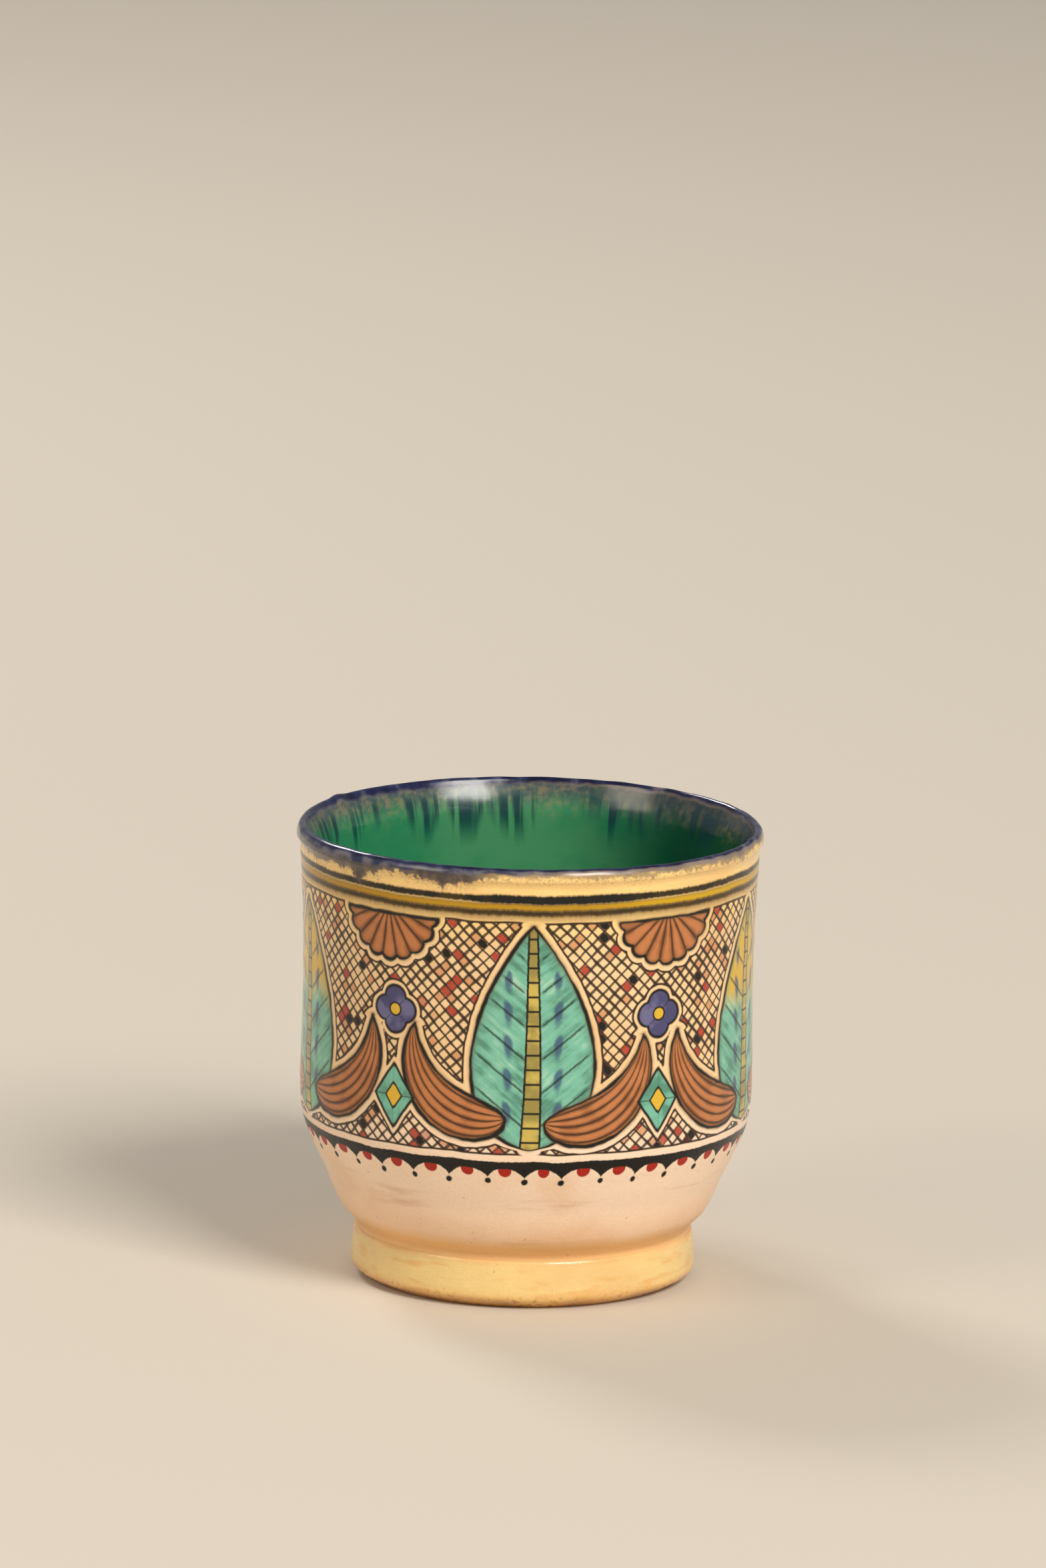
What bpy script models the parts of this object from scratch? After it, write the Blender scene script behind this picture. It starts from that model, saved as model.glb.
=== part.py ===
"""A hand-thrown pottery mug: clay body, luted foot ring, pulled strap handle and two glazes.

Metres, +Z up. The handle points to +Y.
"""

import math

import bmesh
import bpy
from mathutils import Vector
from mathutils.geometry import interpolate_bezier

MM = 0.001

# Overall sizes
HEIGHT = 84.4 * MM
RIM_RADIUS = 43.0 * MM

# Joints: gap left between pieces that touch, and thickness of the fired glass
SEAM = 0.25 * MM
GLAZE = 0.35 * MM

# Outside of the clay: its radius at each change of curve, and the height of that above the neck
NECK_RADIUS = 30.6 * MM
BOWL_BASE_RADIUS = 33.8 * MM
BOWL_BASE_RISE = 3.1 * MM
BOWL_RADIUS = 36.9 * MM
BOWL_RISE = 9.9 * MM
HIP_RADIUS = 40.45 * MM
HIP_RISE = 17.6 * MM
SHOULDER_RADIUS = 41.5 * MM
SHOULDER_RISE = 22.0 * MM
BELLY_RADIUS = 41.7 * MM
BELLY_RISE = 29.0 * MM
WAIST_RADIUS = 41.45 * MM
FLARE_RADIUS = 41.65 * MM
FLARE_DROP = 15.0 * MM

# Wall thickness, floor and lip
WALL = 4.0 * MM
LIP_WALL = 2.5 * MM
LIP_ROUND = 1.6 * MM
FLOOR = 4.6 * MM
FLOOR_CORNER = 9.0 * MM
FLOOR_FLAT_RADIUS = 19.0 * MM

# Foot ring
FOOT_HEIGHT = 9.8 * MM
FOOT_FLARE = 1.15 * MM
FOOT_FLARE_HEIGHT = 3.0 * MM
FOOT_ROUND = 1.7 * MM
FOOT_WIDTH = 5.6 * MM
FOOT_INNER_ROUND = 1.0 * MM
FOOT_LUTE = 1.3 * MM

# Handle, a strap pulled thinner from its upper root to its crown
HANDLE_DROP = 18.0 * MM
HANDLE_SEAT = 1.0 * MM
HANDLE_REACH = 31.0 * MM
STRAP_WIDTH = 16.0 * MM
STRAP_THICKNESS = 8.0 * MM
STRAP_GROOVE = 0.9 * MM
CROWN_TAPER = 0.82
TAIL_TAPER = 0.88
STRAP_ROOT = 5.0 * MM
UPPER_LIFT = math.radians(18)
LOWER_LIFT = math.radians(24)
LUTE_LENGTH = 5.0 * MM
LUTE_FLARE = 2.2 * MM
LUTE_EDGE = 0.5 * MM

# Where the strap's crown lies in the handle's height, and how full its bends are
CROWN_LEVEL = 0.62
UPPER_FULLNESS = 0.42
CROWN_FULLNESS = 0.36
LOWER_FULLNESS = 0.55

# Glaze runs: mean length below the lip, how much they differ, and (count, phase, weight) of their waves
OUTER_RUN = 2.6 * MM
INNER_RUN = 7.0 * MM
RUN_SPREAD = 0.7
OUTER_WAVES = ((7, 0.6, 1.0), (13, 2.1, 0.7), (1, -math.pi / 2, 0.8))
INNER_WAVES = ((9, 1.4, 1.0), (16, 0.3, 0.8))

# Facets round the clay, round the glazes, round the strap and along each of its bends
CLAY_STEPS = 60
GLAZE_STEPS = 72
STRAP_SIDES = 20
BEND_STEPS = 10

# Worked out from the sizes above
NECK_HEIGHT = FOOT_HEIGHT + SEAM
FLOOR_HEIGHT = NECK_HEIGHT + FLOOR
CORNER_HEIGHT = FLOOR_HEIGHT + FLOOR_CORNER
SHOULDER_HEIGHT = NECK_HEIGHT + SHOULDER_RISE
LIP_HEIGHT = HEIGHT - LIP_ROUND - GLAZE - SEAM
FLARE_HEIGHT = LIP_HEIGHT - FLARE_DROP
CLAY_LIP_RADIUS = RIM_RADIUS - GLAZE - SEAM


def wall_stations():
    """(height, outside radius) of the clay where its curve changes, from the neck to the lip."""
    belly_height = NECK_HEIGHT + BELLY_RISE
    return (
        (NECK_HEIGHT, NECK_RADIUS),
        (NECK_HEIGHT + BOWL_BASE_RISE, BOWL_BASE_RADIUS),
        (NECK_HEIGHT + BOWL_RISE, BOWL_RADIUS),
        (NECK_HEIGHT + HIP_RISE, HIP_RADIUS),
        (SHOULDER_HEIGHT, SHOULDER_RADIUS),
        (belly_height, BELLY_RADIUS),
        ((belly_height + FLARE_HEIGHT) / 2, WAIST_RADIUS),
        (FLARE_HEIGHT, FLARE_RADIUS),
        (LIP_HEIGHT, CLAY_LIP_RADIUS),
    )


def slope_at(stations, index):
    """Slope of the wall's curve at a station, from its neighbours."""
    low = stations[max(index - 1, 0)]
    high = stations[min(index + 1, len(stations) - 1)]
    return (high[1] - low[1]) / (high[0] - low[0])


def outer_radius(height):
    """Outside radius of the clay: a smooth curve through the stations, level past its ends."""
    stations = wall_stations()
    last = len(stations) - 1
    index = 0
    while index < last - 1 and height > stations[index + 1][0]:
        index += 1
    (z0, r0), (z1, r1) = stations[index], stations[index + 1]
    span = z1 - z0
    t = min(max((height - z0) / span, 0.0), 1.0)
    m0 = slope_at(stations, index) * span
    m1 = slope_at(stations, index + 1) * span
    rise = t * t * (3 - 2 * t)
    return r0 + (r1 - r0) * rise + m0 * t * (1 - t) ** 2 - m1 * t * t * (1 - t)


def inner_radius(height):
    """Inside radius of the clay, whose wall thins from the floor to the lip and is straight in the flare."""
    outer = outer_radius(height)
    if height > FLARE_HEIGHT:
        outer = FLARE_RADIUS + (CLAY_LIP_RADIUS - FLARE_RADIUS) * (height - FLARE_HEIGHT) / FLARE_DROP
    share = (height - FLOOR_HEIGHT) / (LIP_HEIGHT - FLOOR_HEIGHT)
    return outer - WALL - (LIP_WALL - WALL) * share


def spaced(low, high, count):
    """count values from low to high, both ends included."""
    return [low + (high - low) * i / (count - 1) for i in range(count)]


def wall_heights():
    """Heights at which the outside is turned: two to each stretch between stations, from the lip down."""
    heights = [z for z, radius in wall_stations()]
    middles = [(low + high) / 2 for low, high in zip(heights, heights[1:])]
    return sorted(heights + middles, reverse=True)


def inside_heights():
    """Heights, up to the flare, at which the clay and the glaze on it are both turned inside."""
    return [CORNER_HEIGHT] + [z for z, radius in wall_stations() if CORNER_HEIGHT < z <= FLARE_HEIGHT]


def inside_line(layer, heights, corner_points=6):
    """The inside, from its middle out and up through some heights, a layer's depth in from the clay."""
    floor = FLOOR_HEIGHT + layer
    start = Vector((FLOOR_FLAT_RADIUS, floor))
    bend = Vector((inner_radius(FLOOR_HEIGHT + FLOOR_CORNER / 2) - layer, floor))
    end = Vector((inner_radius(CORNER_HEIGHT) - layer, CORNER_HEIGHT))
    line = [Vector((0.0, floor))]
    for t in spaced(0.0, 1.0, corner_points)[:-1]:
        line.append(start * (1 - t) ** 2 + bend * 2 * t * (1 - t) + end * t * t)
    for height in heights:
        line.append(Vector((inner_radius(height) - layer, height)))
    return line


def lip_line(layer, points=7):
    """Half ellipse over the lip, inside to outside, a layer's depth out from the clay."""
    outer = outer_radius(LIP_HEIGHT)
    inner = inner_radius(LIP_HEIGHT)
    middle = (outer + inner) / 2
    reach = (outer - inner) / 2 + layer
    rise = LIP_ROUND + layer
    angles = spaced(math.pi, 0.0, points)
    return [Vector((middle + reach * math.cos(a), LIP_HEIGHT + rise * math.sin(a))) for a in angles]


def outside_line(layer, heights):
    """The outside of the clay at some heights, a layer's depth out from it."""
    return [Vector((outer_radius(z) + layer, z)) for z in heights]


def corner_arc(centre, radius, first, last, points=5):
    """Arc of a rounded corner between two angles in degrees."""
    angles = [math.radians(a) for a in spaced(first, last, points)]
    return [centre + radius * Vector((math.cos(a), math.sin(a))) for a in angles]


def foot_radius(height):
    """Outside radius of the foot ring, which flares from the neck and then stands straight."""
    share = (FOOT_HEIGHT - height) / (FOOT_HEIGHT - FOOT_FLARE_HEIGHT)
    share = min(max(share, 0.0), 1.0)
    return NECK_RADIUS + FOOT_FLARE * math.sin(share * math.pi / 2)


def run_share(angle, waves):
    """Length of a glaze run at an angle, as a share of the mean run."""
    total = sum(weight for count, phase, weight in waves)
    wave = sum(weight * math.sin(count * angle + phase) for count, phase, weight in waves)
    return 1 + RUN_SPREAD * wave / total


def material(name, colour, roughness):
    """A Principled material of one colour."""
    made = bpy.data.materials.new(name)
    made.use_nodes = True
    shader = made.node_tree.nodes["Principled BSDF"]
    shader.inputs["Base Color"].default_value = (*colour, 1.0)
    shader.inputs["Roughness"].default_value = roughness
    shader.inputs["Metallic"].default_value = 0.0
    return made


def clear_scene():
    for found in list(bpy.data.objects):
        bpy.data.objects.remove(found)


def new_collection(name):
    made = bpy.data.collections.new(name)
    bpy.context.scene.collection.children.link(made)
    return made


def add_object(name, data, collection, axis):
    """An object in a collection, carried by the mug's axis."""
    made = bpy.data.objects.new(name, data)
    collection.objects.link(made)
    made.parent = axis
    return made


def tidy(mesh):
    """Turns all faces outward and shades them smooth across shallow bends."""
    work = bmesh.new()
    work.from_mesh(mesh)
    bmesh.ops.recalc_face_normals(work, faces=work.faces)
    work.to_mesh(mesh)
    work.free()
    mesh.shade_smooth()
    mesh.set_sharp_from_angle(angle=math.radians(40))


def line_mesh(name, line, closed):
    """A mesh of edges along a profile in the XZ plane."""
    mesh = bpy.data.meshes.new(name)
    points = [(p.x, 0.0, p.y) for p in line]
    edges = [(i, i + 1) for i in range(len(points) - 1)]
    if closed:
        edges.append((len(points) - 1, 0))
    mesh.from_pydata(points, edges, [])
    return mesh


def turned(name, line, collection, axis, steps, closed=False):
    """A profile turned round the mug's axis by a Screw modifier."""
    made = add_object(name, line_mesh(name, line, closed), collection, axis)
    screw = made.modifiers.new("Turn", "SCREW")
    screw.steps = steps
    screw.render_steps = steps
    screw.use_merge_vertices = True
    screw.merge_threshold = 0.00001
    screw.use_smooth_shade = True
    return made


def as_mesh(source, name, collection, axis):
    """The evaluated shape of an object as a plain mesh object, which takes the object's place."""
    bpy.context.view_layer.update()
    graph = bpy.context.evaluated_depsgraph_get()
    mesh = bpy.data.meshes.new_from_object(source.evaluated_get(graph))
    tidy(mesh)
    bpy.data.objects.remove(source)
    mesh.name = name
    return add_object(name, mesh, collection, axis)


def cut(target, cutter):
    """Takes a cutter out of a piece."""
    made = target.modifiers.new("Cut by " + cutter.name, "BOOLEAN")
    made.operation = "DIFFERENCE"
    made.solver = "EXACT"
    made.object = cutter


def as_cutter(made):
    made.hide_render = True
    made.display_type = "WIRE"
    return made


def make_body(parts, axis):
    """Clay wall and floor, thrown in one piece."""
    line = inside_line(0.0, inside_heights())
    line += lip_line(0.0)
    line += outside_line(0.0, wall_heights())[1:]
    line.append(Vector((0.0, NECK_HEIGHT)))
    return turned("thrown_body", line, parts, axis, CLAY_STEPS)


def make_foot_ring(parts, axis):
    """Turned ring that the mug stands on, open underneath."""
    inner = NECK_RADIUS + FOOT_FLARE - FOOT_WIDTH
    sole = Vector((foot_radius(FOOT_ROUND) - FOOT_ROUND, FOOT_ROUND))
    heel = Vector((inner + FOOT_INNER_ROUND, FOOT_INNER_ROUND))
    line = [Vector((foot_radius(z), z)) for z in spaced(FOOT_HEIGHT, FOOT_FLARE_HEIGHT, 5)]
    line += corner_arc(sole, FOOT_ROUND, 0, -90)
    line += corner_arc(heel, FOOT_INNER_ROUND, 270, 180, points=4)
    line.append(Vector((inner, FOOT_HEIGHT)))
    return turned("foot_ring", line, parts, axis, CLAY_STEPS, closed=True)


def make_foot_lute(parts, axis):
    """Fillet of slip in the corner between bowl and foot ring."""
    above = NECK_HEIGHT + FOOT_LUTE
    below = FOOT_HEIGHT - FOOT_LUTE
    seat = outside_line(SEAM, spaced(above, NECK_HEIGHT, 3))
    seat += [Vector((foot_radius(z) + SEAM, z)) for z in spaced(FOOT_HEIGHT, below, 3)]
    hollow = (seat[0] + seat[-1]) / 2 - Vector((FOOT_LUTE / 6, 0.0))
    line = [hollow] + list(reversed(seat))
    return turned("foot_lute", line, parts, axis, CLAY_STEPS, closed=True)


def slide_on_wall(vertex, fixed, share, wall_radius):
    """Moves a point along the wall, to a share of its distance from a fixed height."""
    angle = math.atan2(vertex.co.y, vertex.co.x)
    height = fixed + (vertex.co.z - fixed) * share
    radius = math.hypot(vertex.co.x, vertex.co.y)
    radius += wall_radius(height) - wall_radius(vertex.co.z)
    vertex.co = (radius * math.cos(angle), radius * math.sin(angle), height)


def make_rim_glaze(parts, axis):
    """Blue glass over the lip, whose lower edges hang in runs."""
    outside = LIP_HEIGHT - OUTER_RUN
    inside = LIP_HEIGHT - INNER_RUN
    deep = SEAM + GLAZE
    inner_face = [Vector((inner_radius(z) - deep, z)) for z in (inside, LIP_HEIGHT)]
    inner_back = [Vector((inner_radius(z) - SEAM, z)) for z in (LIP_HEIGHT, inside)]
    line = inner_face + lip_line(deep)[1:-1]
    line += outside_line(deep, spaced(LIP_HEIGHT, outside, 3))
    line += outside_line(SEAM, spaced(outside, LIP_HEIGHT, 3))
    line += list(reversed(lip_line(SEAM)))[1:-1] + inner_back
    turn = turned("rim_glaze_turn", line, parts, axis, GLAZE_STEPS, closed=True)
    made = as_mesh(turn, "rim_glaze", parts, axis)
    for vertex in made.data.vertices:
        if vertex.co.z > LIP_HEIGHT:
            continue
        angle = math.atan2(vertex.co.y, vertex.co.x)
        middle = (outer_radius(vertex.co.z) + inner_radius(vertex.co.z)) / 2
        if math.hypot(vertex.co.x, vertex.co.y) > middle:
            slide_on_wall(vertex, LIP_HEIGHT, run_share(angle, OUTER_WAVES), outer_radius)
        else:
            slide_on_wall(vertex, LIP_HEIGHT, run_share(angle, INNER_WAVES), inner_radius)
    return made


def make_lining(parts, axis):
    """Green glass skin inside, whose upper edge follows the runs of the rim glaze."""
    top = LIP_HEIGHT - INNER_RUN - SEAM
    heights = inside_heights() + [top]
    back = inside_line(SEAM, heights)
    face = inside_line(SEAM + GLAZE, heights)
    line = face + list(reversed(back))
    turn = turned("glaze_lining_turn", line, parts, axis, GLAZE_STEPS)
    made = as_mesh(turn, "glaze_lining", parts, axis)
    for vertex in made.data.vertices:
        if vertex.co.z <= FLARE_HEIGHT:
            continue
        angle = math.atan2(vertex.co.y, vertex.co.x)
        edge = LIP_HEIGHT - INNER_RUN * run_share(angle, INNER_WAVES) - SEAM
        share = (edge - FLARE_HEIGHT) / (top - FLARE_HEIGHT)
        slide_on_wall(vertex, FLARE_HEIGHT, share, inner_radius)
    return made


def strap_ring(place, along, taper, grow, groove=0.0):
    """Oval ring round the strap's path, grown on all sides, with a groove down its outer face."""
    across = Vector((1.0, 0.0, 0.0))
    outward = across.cross(along)
    ring = []
    for i in range(STRAP_SIDES):
        angle = 2 * math.pi * i / STRAP_SIDES
        wide = (taper * STRAP_WIDTH / 2 + grow) * math.cos(angle)
        thick = (taper * STRAP_THICKNESS / 2 + grow) * math.sin(angle)
        thick -= groove * max(0.0, math.sin(angle)) ** 6
        ring.append(place + across * wide + outward * thick)
    return ring


def tube(name, rings, collection, axis):
    """A closed body through rings of the same number of points."""
    sides = len(rings[0])
    points = [point for ring in rings for point in ring]
    faces = []
    for start in range(0, len(points) - sides, sides):
        for i in range(sides):
            j = (i + 1) % sides
            faces.append((start + i, start + j, start + sides + j, start + sides + i))
    faces.append(tuple(range(sides)))
    faces.append(tuple(range(len(points) - sides, len(points))))
    mesh = bpy.data.meshes.new(name)
    mesh.from_pydata(points, [], faces)
    tidy(mesh)
    return add_object(name, mesh, collection, axis)


def joint_on_wall(height, lift):
    """(place, way out) of the strap where it meets the wall, lifted from square to it, in the YZ plane."""
    slope = (outer_radius(height + SEAM) - outer_radius(height - SEAM)) / (2 * SEAM)
    tilt = lift - math.atan(slope)
    return Vector((0.0, outer_radius(height), height)), Vector((0.0, math.cos(tilt), math.sin(tilt)))


def handle_joints():
    """Where the strap leaves the wall, and where it comes back to it."""
    upper = joint_on_wall(HEIGHT - HANDLE_DROP, UPPER_LIFT)
    lower = joint_on_wall(SHOULDER_HEIGHT + HANDLE_SEAT, LOWER_LIFT)
    return upper, lower


def strap_path():
    """(place, way along, taper) down the strap: straight in its lutes, with two bends between them."""
    (top, top_way), (bottom, bottom_way) = handle_joints()
    leave = top + top_way * LUTE_LENGTH
    arrive = bottom + bottom_way * LUTE_LENGTH
    span = top.z - bottom.z
    crown_reach = BELLY_RADIUS + HANDLE_REACH - CROWN_TAPER * STRAP_THICKNESS / 2
    crown = Vector((0.0, crown_reach, bottom.z + CROWN_LEVEL * span))
    turn = Vector((0.0, 0.0, CROWN_FULLNESS * span))
    upper_pull = leave + top_way * HANDLE_REACH * UPPER_FULLNESS
    lower_pull = arrive + bottom_way * HANDLE_REACH * LOWER_FULLNESS
    upper_bend = interpolate_bezier(leave, upper_pull, crown + turn, crown, BEND_STEPS + 1)
    lower_bend = interpolate_bezier(crown, crown - turn, lower_pull, arrive, BEND_STEPS + 1)
    easing = [t * t * (3 - 2 * t) for t in spaced(0.0, 1.0, BEND_STEPS + 1)]
    places = [top - top_way * STRAP_ROOT] + upper_bend + lower_bend[1:] + [bottom - bottom_way * STRAP_ROOT]
    tapers = [1.0] + [1 + (CROWN_TAPER - 1) * t for t in easing]
    tapers += [CROWN_TAPER + (TAIL_TAPER - CROWN_TAPER) * t for t in easing[1:]] + [TAIL_TAPER]
    ways = [top_way] * 2
    ways += [(after - before).normalized() for before, after in zip(places[1:], places[3:-1])]
    ways += [-bottom_way] * 2
    return list(zip(places, ways, tapers))


def make_handle_lute(name, joint, taper, cutters, parts, axis):
    """Clay worked round one end of the strap, hollowed like a trumpet where it spreads on the wall."""
    place, way = joint
    edge = SEAM + LUTE_EDGE
    spread = math.pi / 2 * LUTE_FLARE / LUTE_LENGTH
    rings = [strap_ring(place - way * STRAP_ROOT, way, taper, edge + LUTE_FLARE + spread * STRAP_ROOT)]
    for step in spaced(0.0, 1.0, 5):
        grow = edge + LUTE_FLARE * (1 - math.sin(step * math.pi / 2))
        rings.append(strap_ring(place + way * LUTE_LENGTH * step, way, taper, grow))
    made = tube(name, rings, parts, axis)
    for cutter in cutters:
        cut(made, cutter)
    return made


def make_handle(parts, guides, axis):
    """Strap and the two lutes that join it to the wall."""
    line = [Vector((0.0, LIP_HEIGHT))] + outside_line(SEAM, wall_heights())
    line.append(Vector((0.0, NECK_HEIGHT)))
    wall = as_cutter(turned("wall_cutter", line, guides, axis, CLAY_STEPS))
    path = strap_path()
    room = [strap_ring(*stop, SEAM, STRAP_GROOVE) for stop in path]
    strap = as_cutter(tube("strap_cutter", room, guides, axis))
    handle = tube("handle", [strap_ring(*stop, 0.0, STRAP_GROOVE) for stop in path], parts, axis)
    cut(handle, wall)
    upper, lower = handle_joints()
    cutters = (wall, strap)
    upper_lute = make_handle_lute("upper_handle_lute", upper, 1.0, cutters, parts, axis)
    lower_lute = make_handle_lute("lower_handle_lute", lower, TAIL_TAPER, cutters, parts, axis)
    return handle, upper_lute, lower_lute


def centre_on_base(pieces, axis):
    """Moves the mug so that the middle of its outline, seen from above, is over the origin."""
    bpy.context.view_layer.update()
    graph = bpy.context.evaluated_depsgraph_get()
    reach = []
    for piece in pieces:
        ready = piece.evaluated_get(graph)
        reach += [(ready.matrix_world @ Vector(corner)).y for corner in ready.bound_box]
    axis.location.y = -(min(reach) + max(reach)) / 2


def main():
    clear_scene()
    parts = new_collection("mug")
    guides = new_collection("mug_cutters")
    axis = bpy.data.objects.new("mug_axis", None)
    parts.objects.link(axis)
    body = make_body(parts, axis)
    foot = make_foot_ring(parts, axis)
    foot_lute = make_foot_lute(parts, axis)
    rim = make_rim_glaze(parts, axis)
    lining = make_lining(parts, axis)
    handle, upper_lute, lower_lute = make_handle(parts, guides, axis)
    finishes = (
        (body, material("painted_clay", (0.72, 0.52, 0.31), 0.35)),
        (foot, material("yellow_foot_slip", (0.80, 0.48, 0.13), 0.25)),
        (foot_lute, material("orange_lute_slip", (0.58, 0.27, 0.06), 0.3)),
        (rim, material("cobalt_glaze", (0.03, 0.05, 0.12), 0.08)),
        (lining, material("green_glaze", (0.02, 0.20, 0.12), 0.08)),
        (handle, material("handle_slip", (0.75, 0.50, 0.24), 0.3)),
        (upper_lute, material("upper_lute_slip", (0.72, 0.47, 0.22), 0.32)),
        (lower_lute, material("lower_lute_slip", (0.72, 0.47, 0.22), 0.32)),
    )
    for piece, finish in finishes:
        piece.data.materials.append(finish)
    centre_on_base([piece for piece, finish in finishes], axis)
    print(f"mug axis at y = {axis.location.y / MM:.3f} mm")


main()
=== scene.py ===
# %% [markdown]
# # A painted pottery mug
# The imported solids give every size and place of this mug. This lesson dresses them: it turns a finer
# skin for each piece with bmesh operators and gives each skin a procedural finish.

# %% Load the solids
import math

import bmesh
import bpy
import numpy as np
from mathutils import Matrix, Vector, noise
from mathutils.geometry import interpolate_bezier


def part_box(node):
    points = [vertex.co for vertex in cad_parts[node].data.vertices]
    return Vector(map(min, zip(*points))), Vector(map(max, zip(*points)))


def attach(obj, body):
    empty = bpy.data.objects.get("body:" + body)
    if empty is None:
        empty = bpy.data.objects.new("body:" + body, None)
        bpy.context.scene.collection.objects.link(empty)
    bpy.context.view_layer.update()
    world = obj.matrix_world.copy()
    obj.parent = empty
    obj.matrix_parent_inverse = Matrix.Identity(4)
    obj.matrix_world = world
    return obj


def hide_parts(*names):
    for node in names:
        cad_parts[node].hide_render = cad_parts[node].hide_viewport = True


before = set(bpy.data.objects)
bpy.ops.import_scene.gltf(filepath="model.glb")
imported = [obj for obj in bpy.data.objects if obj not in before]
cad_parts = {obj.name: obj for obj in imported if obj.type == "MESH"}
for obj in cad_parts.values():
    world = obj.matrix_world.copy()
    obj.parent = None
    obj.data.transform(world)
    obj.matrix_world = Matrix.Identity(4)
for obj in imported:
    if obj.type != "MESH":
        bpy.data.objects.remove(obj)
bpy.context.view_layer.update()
MM = 0.001
print("solids:", ", ".join(sorted(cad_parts)))

# %% [markdown]
# ## Measures
# A thrown pot is best described by its outline: a radius for each height above the table. The outline is
# read from the packed clay, so the skins lie where the solids are. From here on, lengths are millimetres
# until a point goes into a mesh.

# %% Read the outline of the clay
LIP_ROUND = 1.6
GLASS = 0.6
FACING_OUT = 0.3
ROUNDING = 0.01
rim_low, rim_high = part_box("rim_glaze")
AXIS_Y = (rim_low.y + rim_high.y) / 2
RIM_TOP = rim_high.z / MM
LIP_HEIGHT = RIM_TOP - LIP_ROUND - GLASS


def outline(node):
    """Sorted (height, radius) points on the outer side of a turned solid."""
    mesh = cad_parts[node].data
    points = set()
    for face in mesh.polygons:
        out = Vector((face.center.x, face.center.y - AXIS_Y, 0.0)).normalized()
        if face.normal.dot(out) < FACING_OUT:
            continue
        for index in face.vertices:
            x, y, z = mesh.vertices[index].co
            points.add((round(z / MM, 2), round(math.hypot(x, y - AXIS_Y) / MM, 2)))
    return sorted(points)


clay = [point for point in outline("thrown_body") if point[0] <= LIP_HEIGHT + ROUNDING]
NECK_HEIGHT, NECK_RADIUS = clay[0]
print(f"axis at y {AXIS_Y / MM:.2f}, neck {NECK_RADIUS} at {NECK_HEIGHT}, lip {clay[-1][1]} at {clay[-1][0]}")

# %% [markdown]
# Between those points the wall is a smooth curve. The inside follows it at the wall's thickness, and opens
# in a shallow bevel below the lip, where the potter's thumb ran.

# %% Draw the wall as a smooth curve
SEAM = 0.25
FLOOR_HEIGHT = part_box("glaze_lining")[0].z / MM - SEAM
FLOOR_WALL = 4.0
LIP_WALL = 2.5
BEVEL_DROP = 4.0
BEVEL_CUT = 1.2
BEVEL_POWER = 1.5
BEVEL_LOW = LIP_HEIGHT - BEVEL_DROP


def slope_at(points, index):
    low = points[max(index - 1, 0)]
    high = points[min(index + 1, len(points) - 1)]
    return (high[1] - low[1]) / (high[0] - low[0])


def wall_radius(height):
    """Outside radius of the clay at a height, on a smooth curve through its outline."""
    index = 0
    while index < len(clay) - 2 and height > clay[index + 1][0]:
        index += 1
    (z0, r0), (z1, r1) = clay[index], clay[index + 1]
    span = z1 - z0
    t = min(max((height - z0) / span, 0.0), 1.0)
    start = slope_at(clay, index) * span
    end = slope_at(clay, index + 1) * span
    return r0 + (r1 - r0) * t * t * (3 - 2 * t) + start * t * (1 - t) ** 2 - end * t * t * (1 - t)


def inside_radius(height):
    """Inside radius of the clay, whose wall thins from the floor to the lip and is bevelled there."""
    share = (height - FLOOR_HEIGHT) / (LIP_HEIGHT - FLOOR_HEIGHT)
    bevel = max(0.0, (height - BEVEL_LOW) / BEVEL_DROP) ** BEVEL_POWER
    return wall_radius(height) - FLOOR_WALL - (LIP_WALL - FLOOR_WALL) * share + BEVEL_CUT * bevel


print(f"wall {wall_radius(50):.2f} outside and {inside_radius(50):.2f} inside, 50 above the table")

# %% [markdown]
# ## Things in the scene
# Three small jobs come up again and again: to put a thing in the scene, to make a mesh of finished work, and
# to point a lamp or a camera at the mug.


# %% Put things in the scene
def put_in_scene(name, data):
    """A new object in the scene, made of a mesh, a lamp or a camera."""
    made = bpy.data.objects.new(name, data)
    bpy.context.scene.collection.objects.link(made)
    return made


def mesh_of(work, name):
    """The finished mesh of a bmesh."""
    mesh = bpy.data.meshes.new(name)
    work.to_mesh(mesh)
    work.free()
    return mesh


def look(place, target):
    """The turn that points a lamp or a camera at a target."""
    return (Vector(target) - Vector(place)).to_track_quat("-Z", "Y")


print("scene ready")

# %% [markdown]
# ## Camera
# The photograph was taken from a little above the rim with a long lens, and a degree out of level. A camera
# 2.2 m away with a long focal length gives the same flat perspective.

# %% Set up the camera
IMAGE_HEIGHT = 2351
SENSOR = 36.0
FOCAL_PIXELS = 17890
CAMERA_DISTANCE = 2.2
CLIP_END = 50
CAMERA_RISE = math.radians(12.85)
CAMERA_ROLL = math.radians(1.0)
MIDDLE = Vector((0.0, AXIS_Y, 42 * MM))
AIM = Vector((-1.47 * MM, AXIS_Y, 91.65 * MM))

camera_data = bpy.data.cameras.new("camera")
camera_data.sensor_width = SENSOR
camera_data.lens = FOCAL_PIXELS / IMAGE_HEIGHT * SENSOR
camera_data.clip_end = CLIP_END
camera = put_in_scene("camera", camera_data)
camera.location = MIDDLE + CAMERA_DISTANCE * Vector((0, -math.cos(CAMERA_RISE), math.sin(CAMERA_RISE)))
level = look(camera.location, AIM).to_matrix()
camera.rotation_euler = (level @ Matrix.Rotation(CAMERA_ROLL, 3, "Z")).to_euler()
bpy.context.scene.camera = camera
bpy.context.scene.view_settings.view_transform = "Standard"
print(f"lens {camera_data.lens:.0f} mm at {CAMERA_DISTANCE} m")

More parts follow.
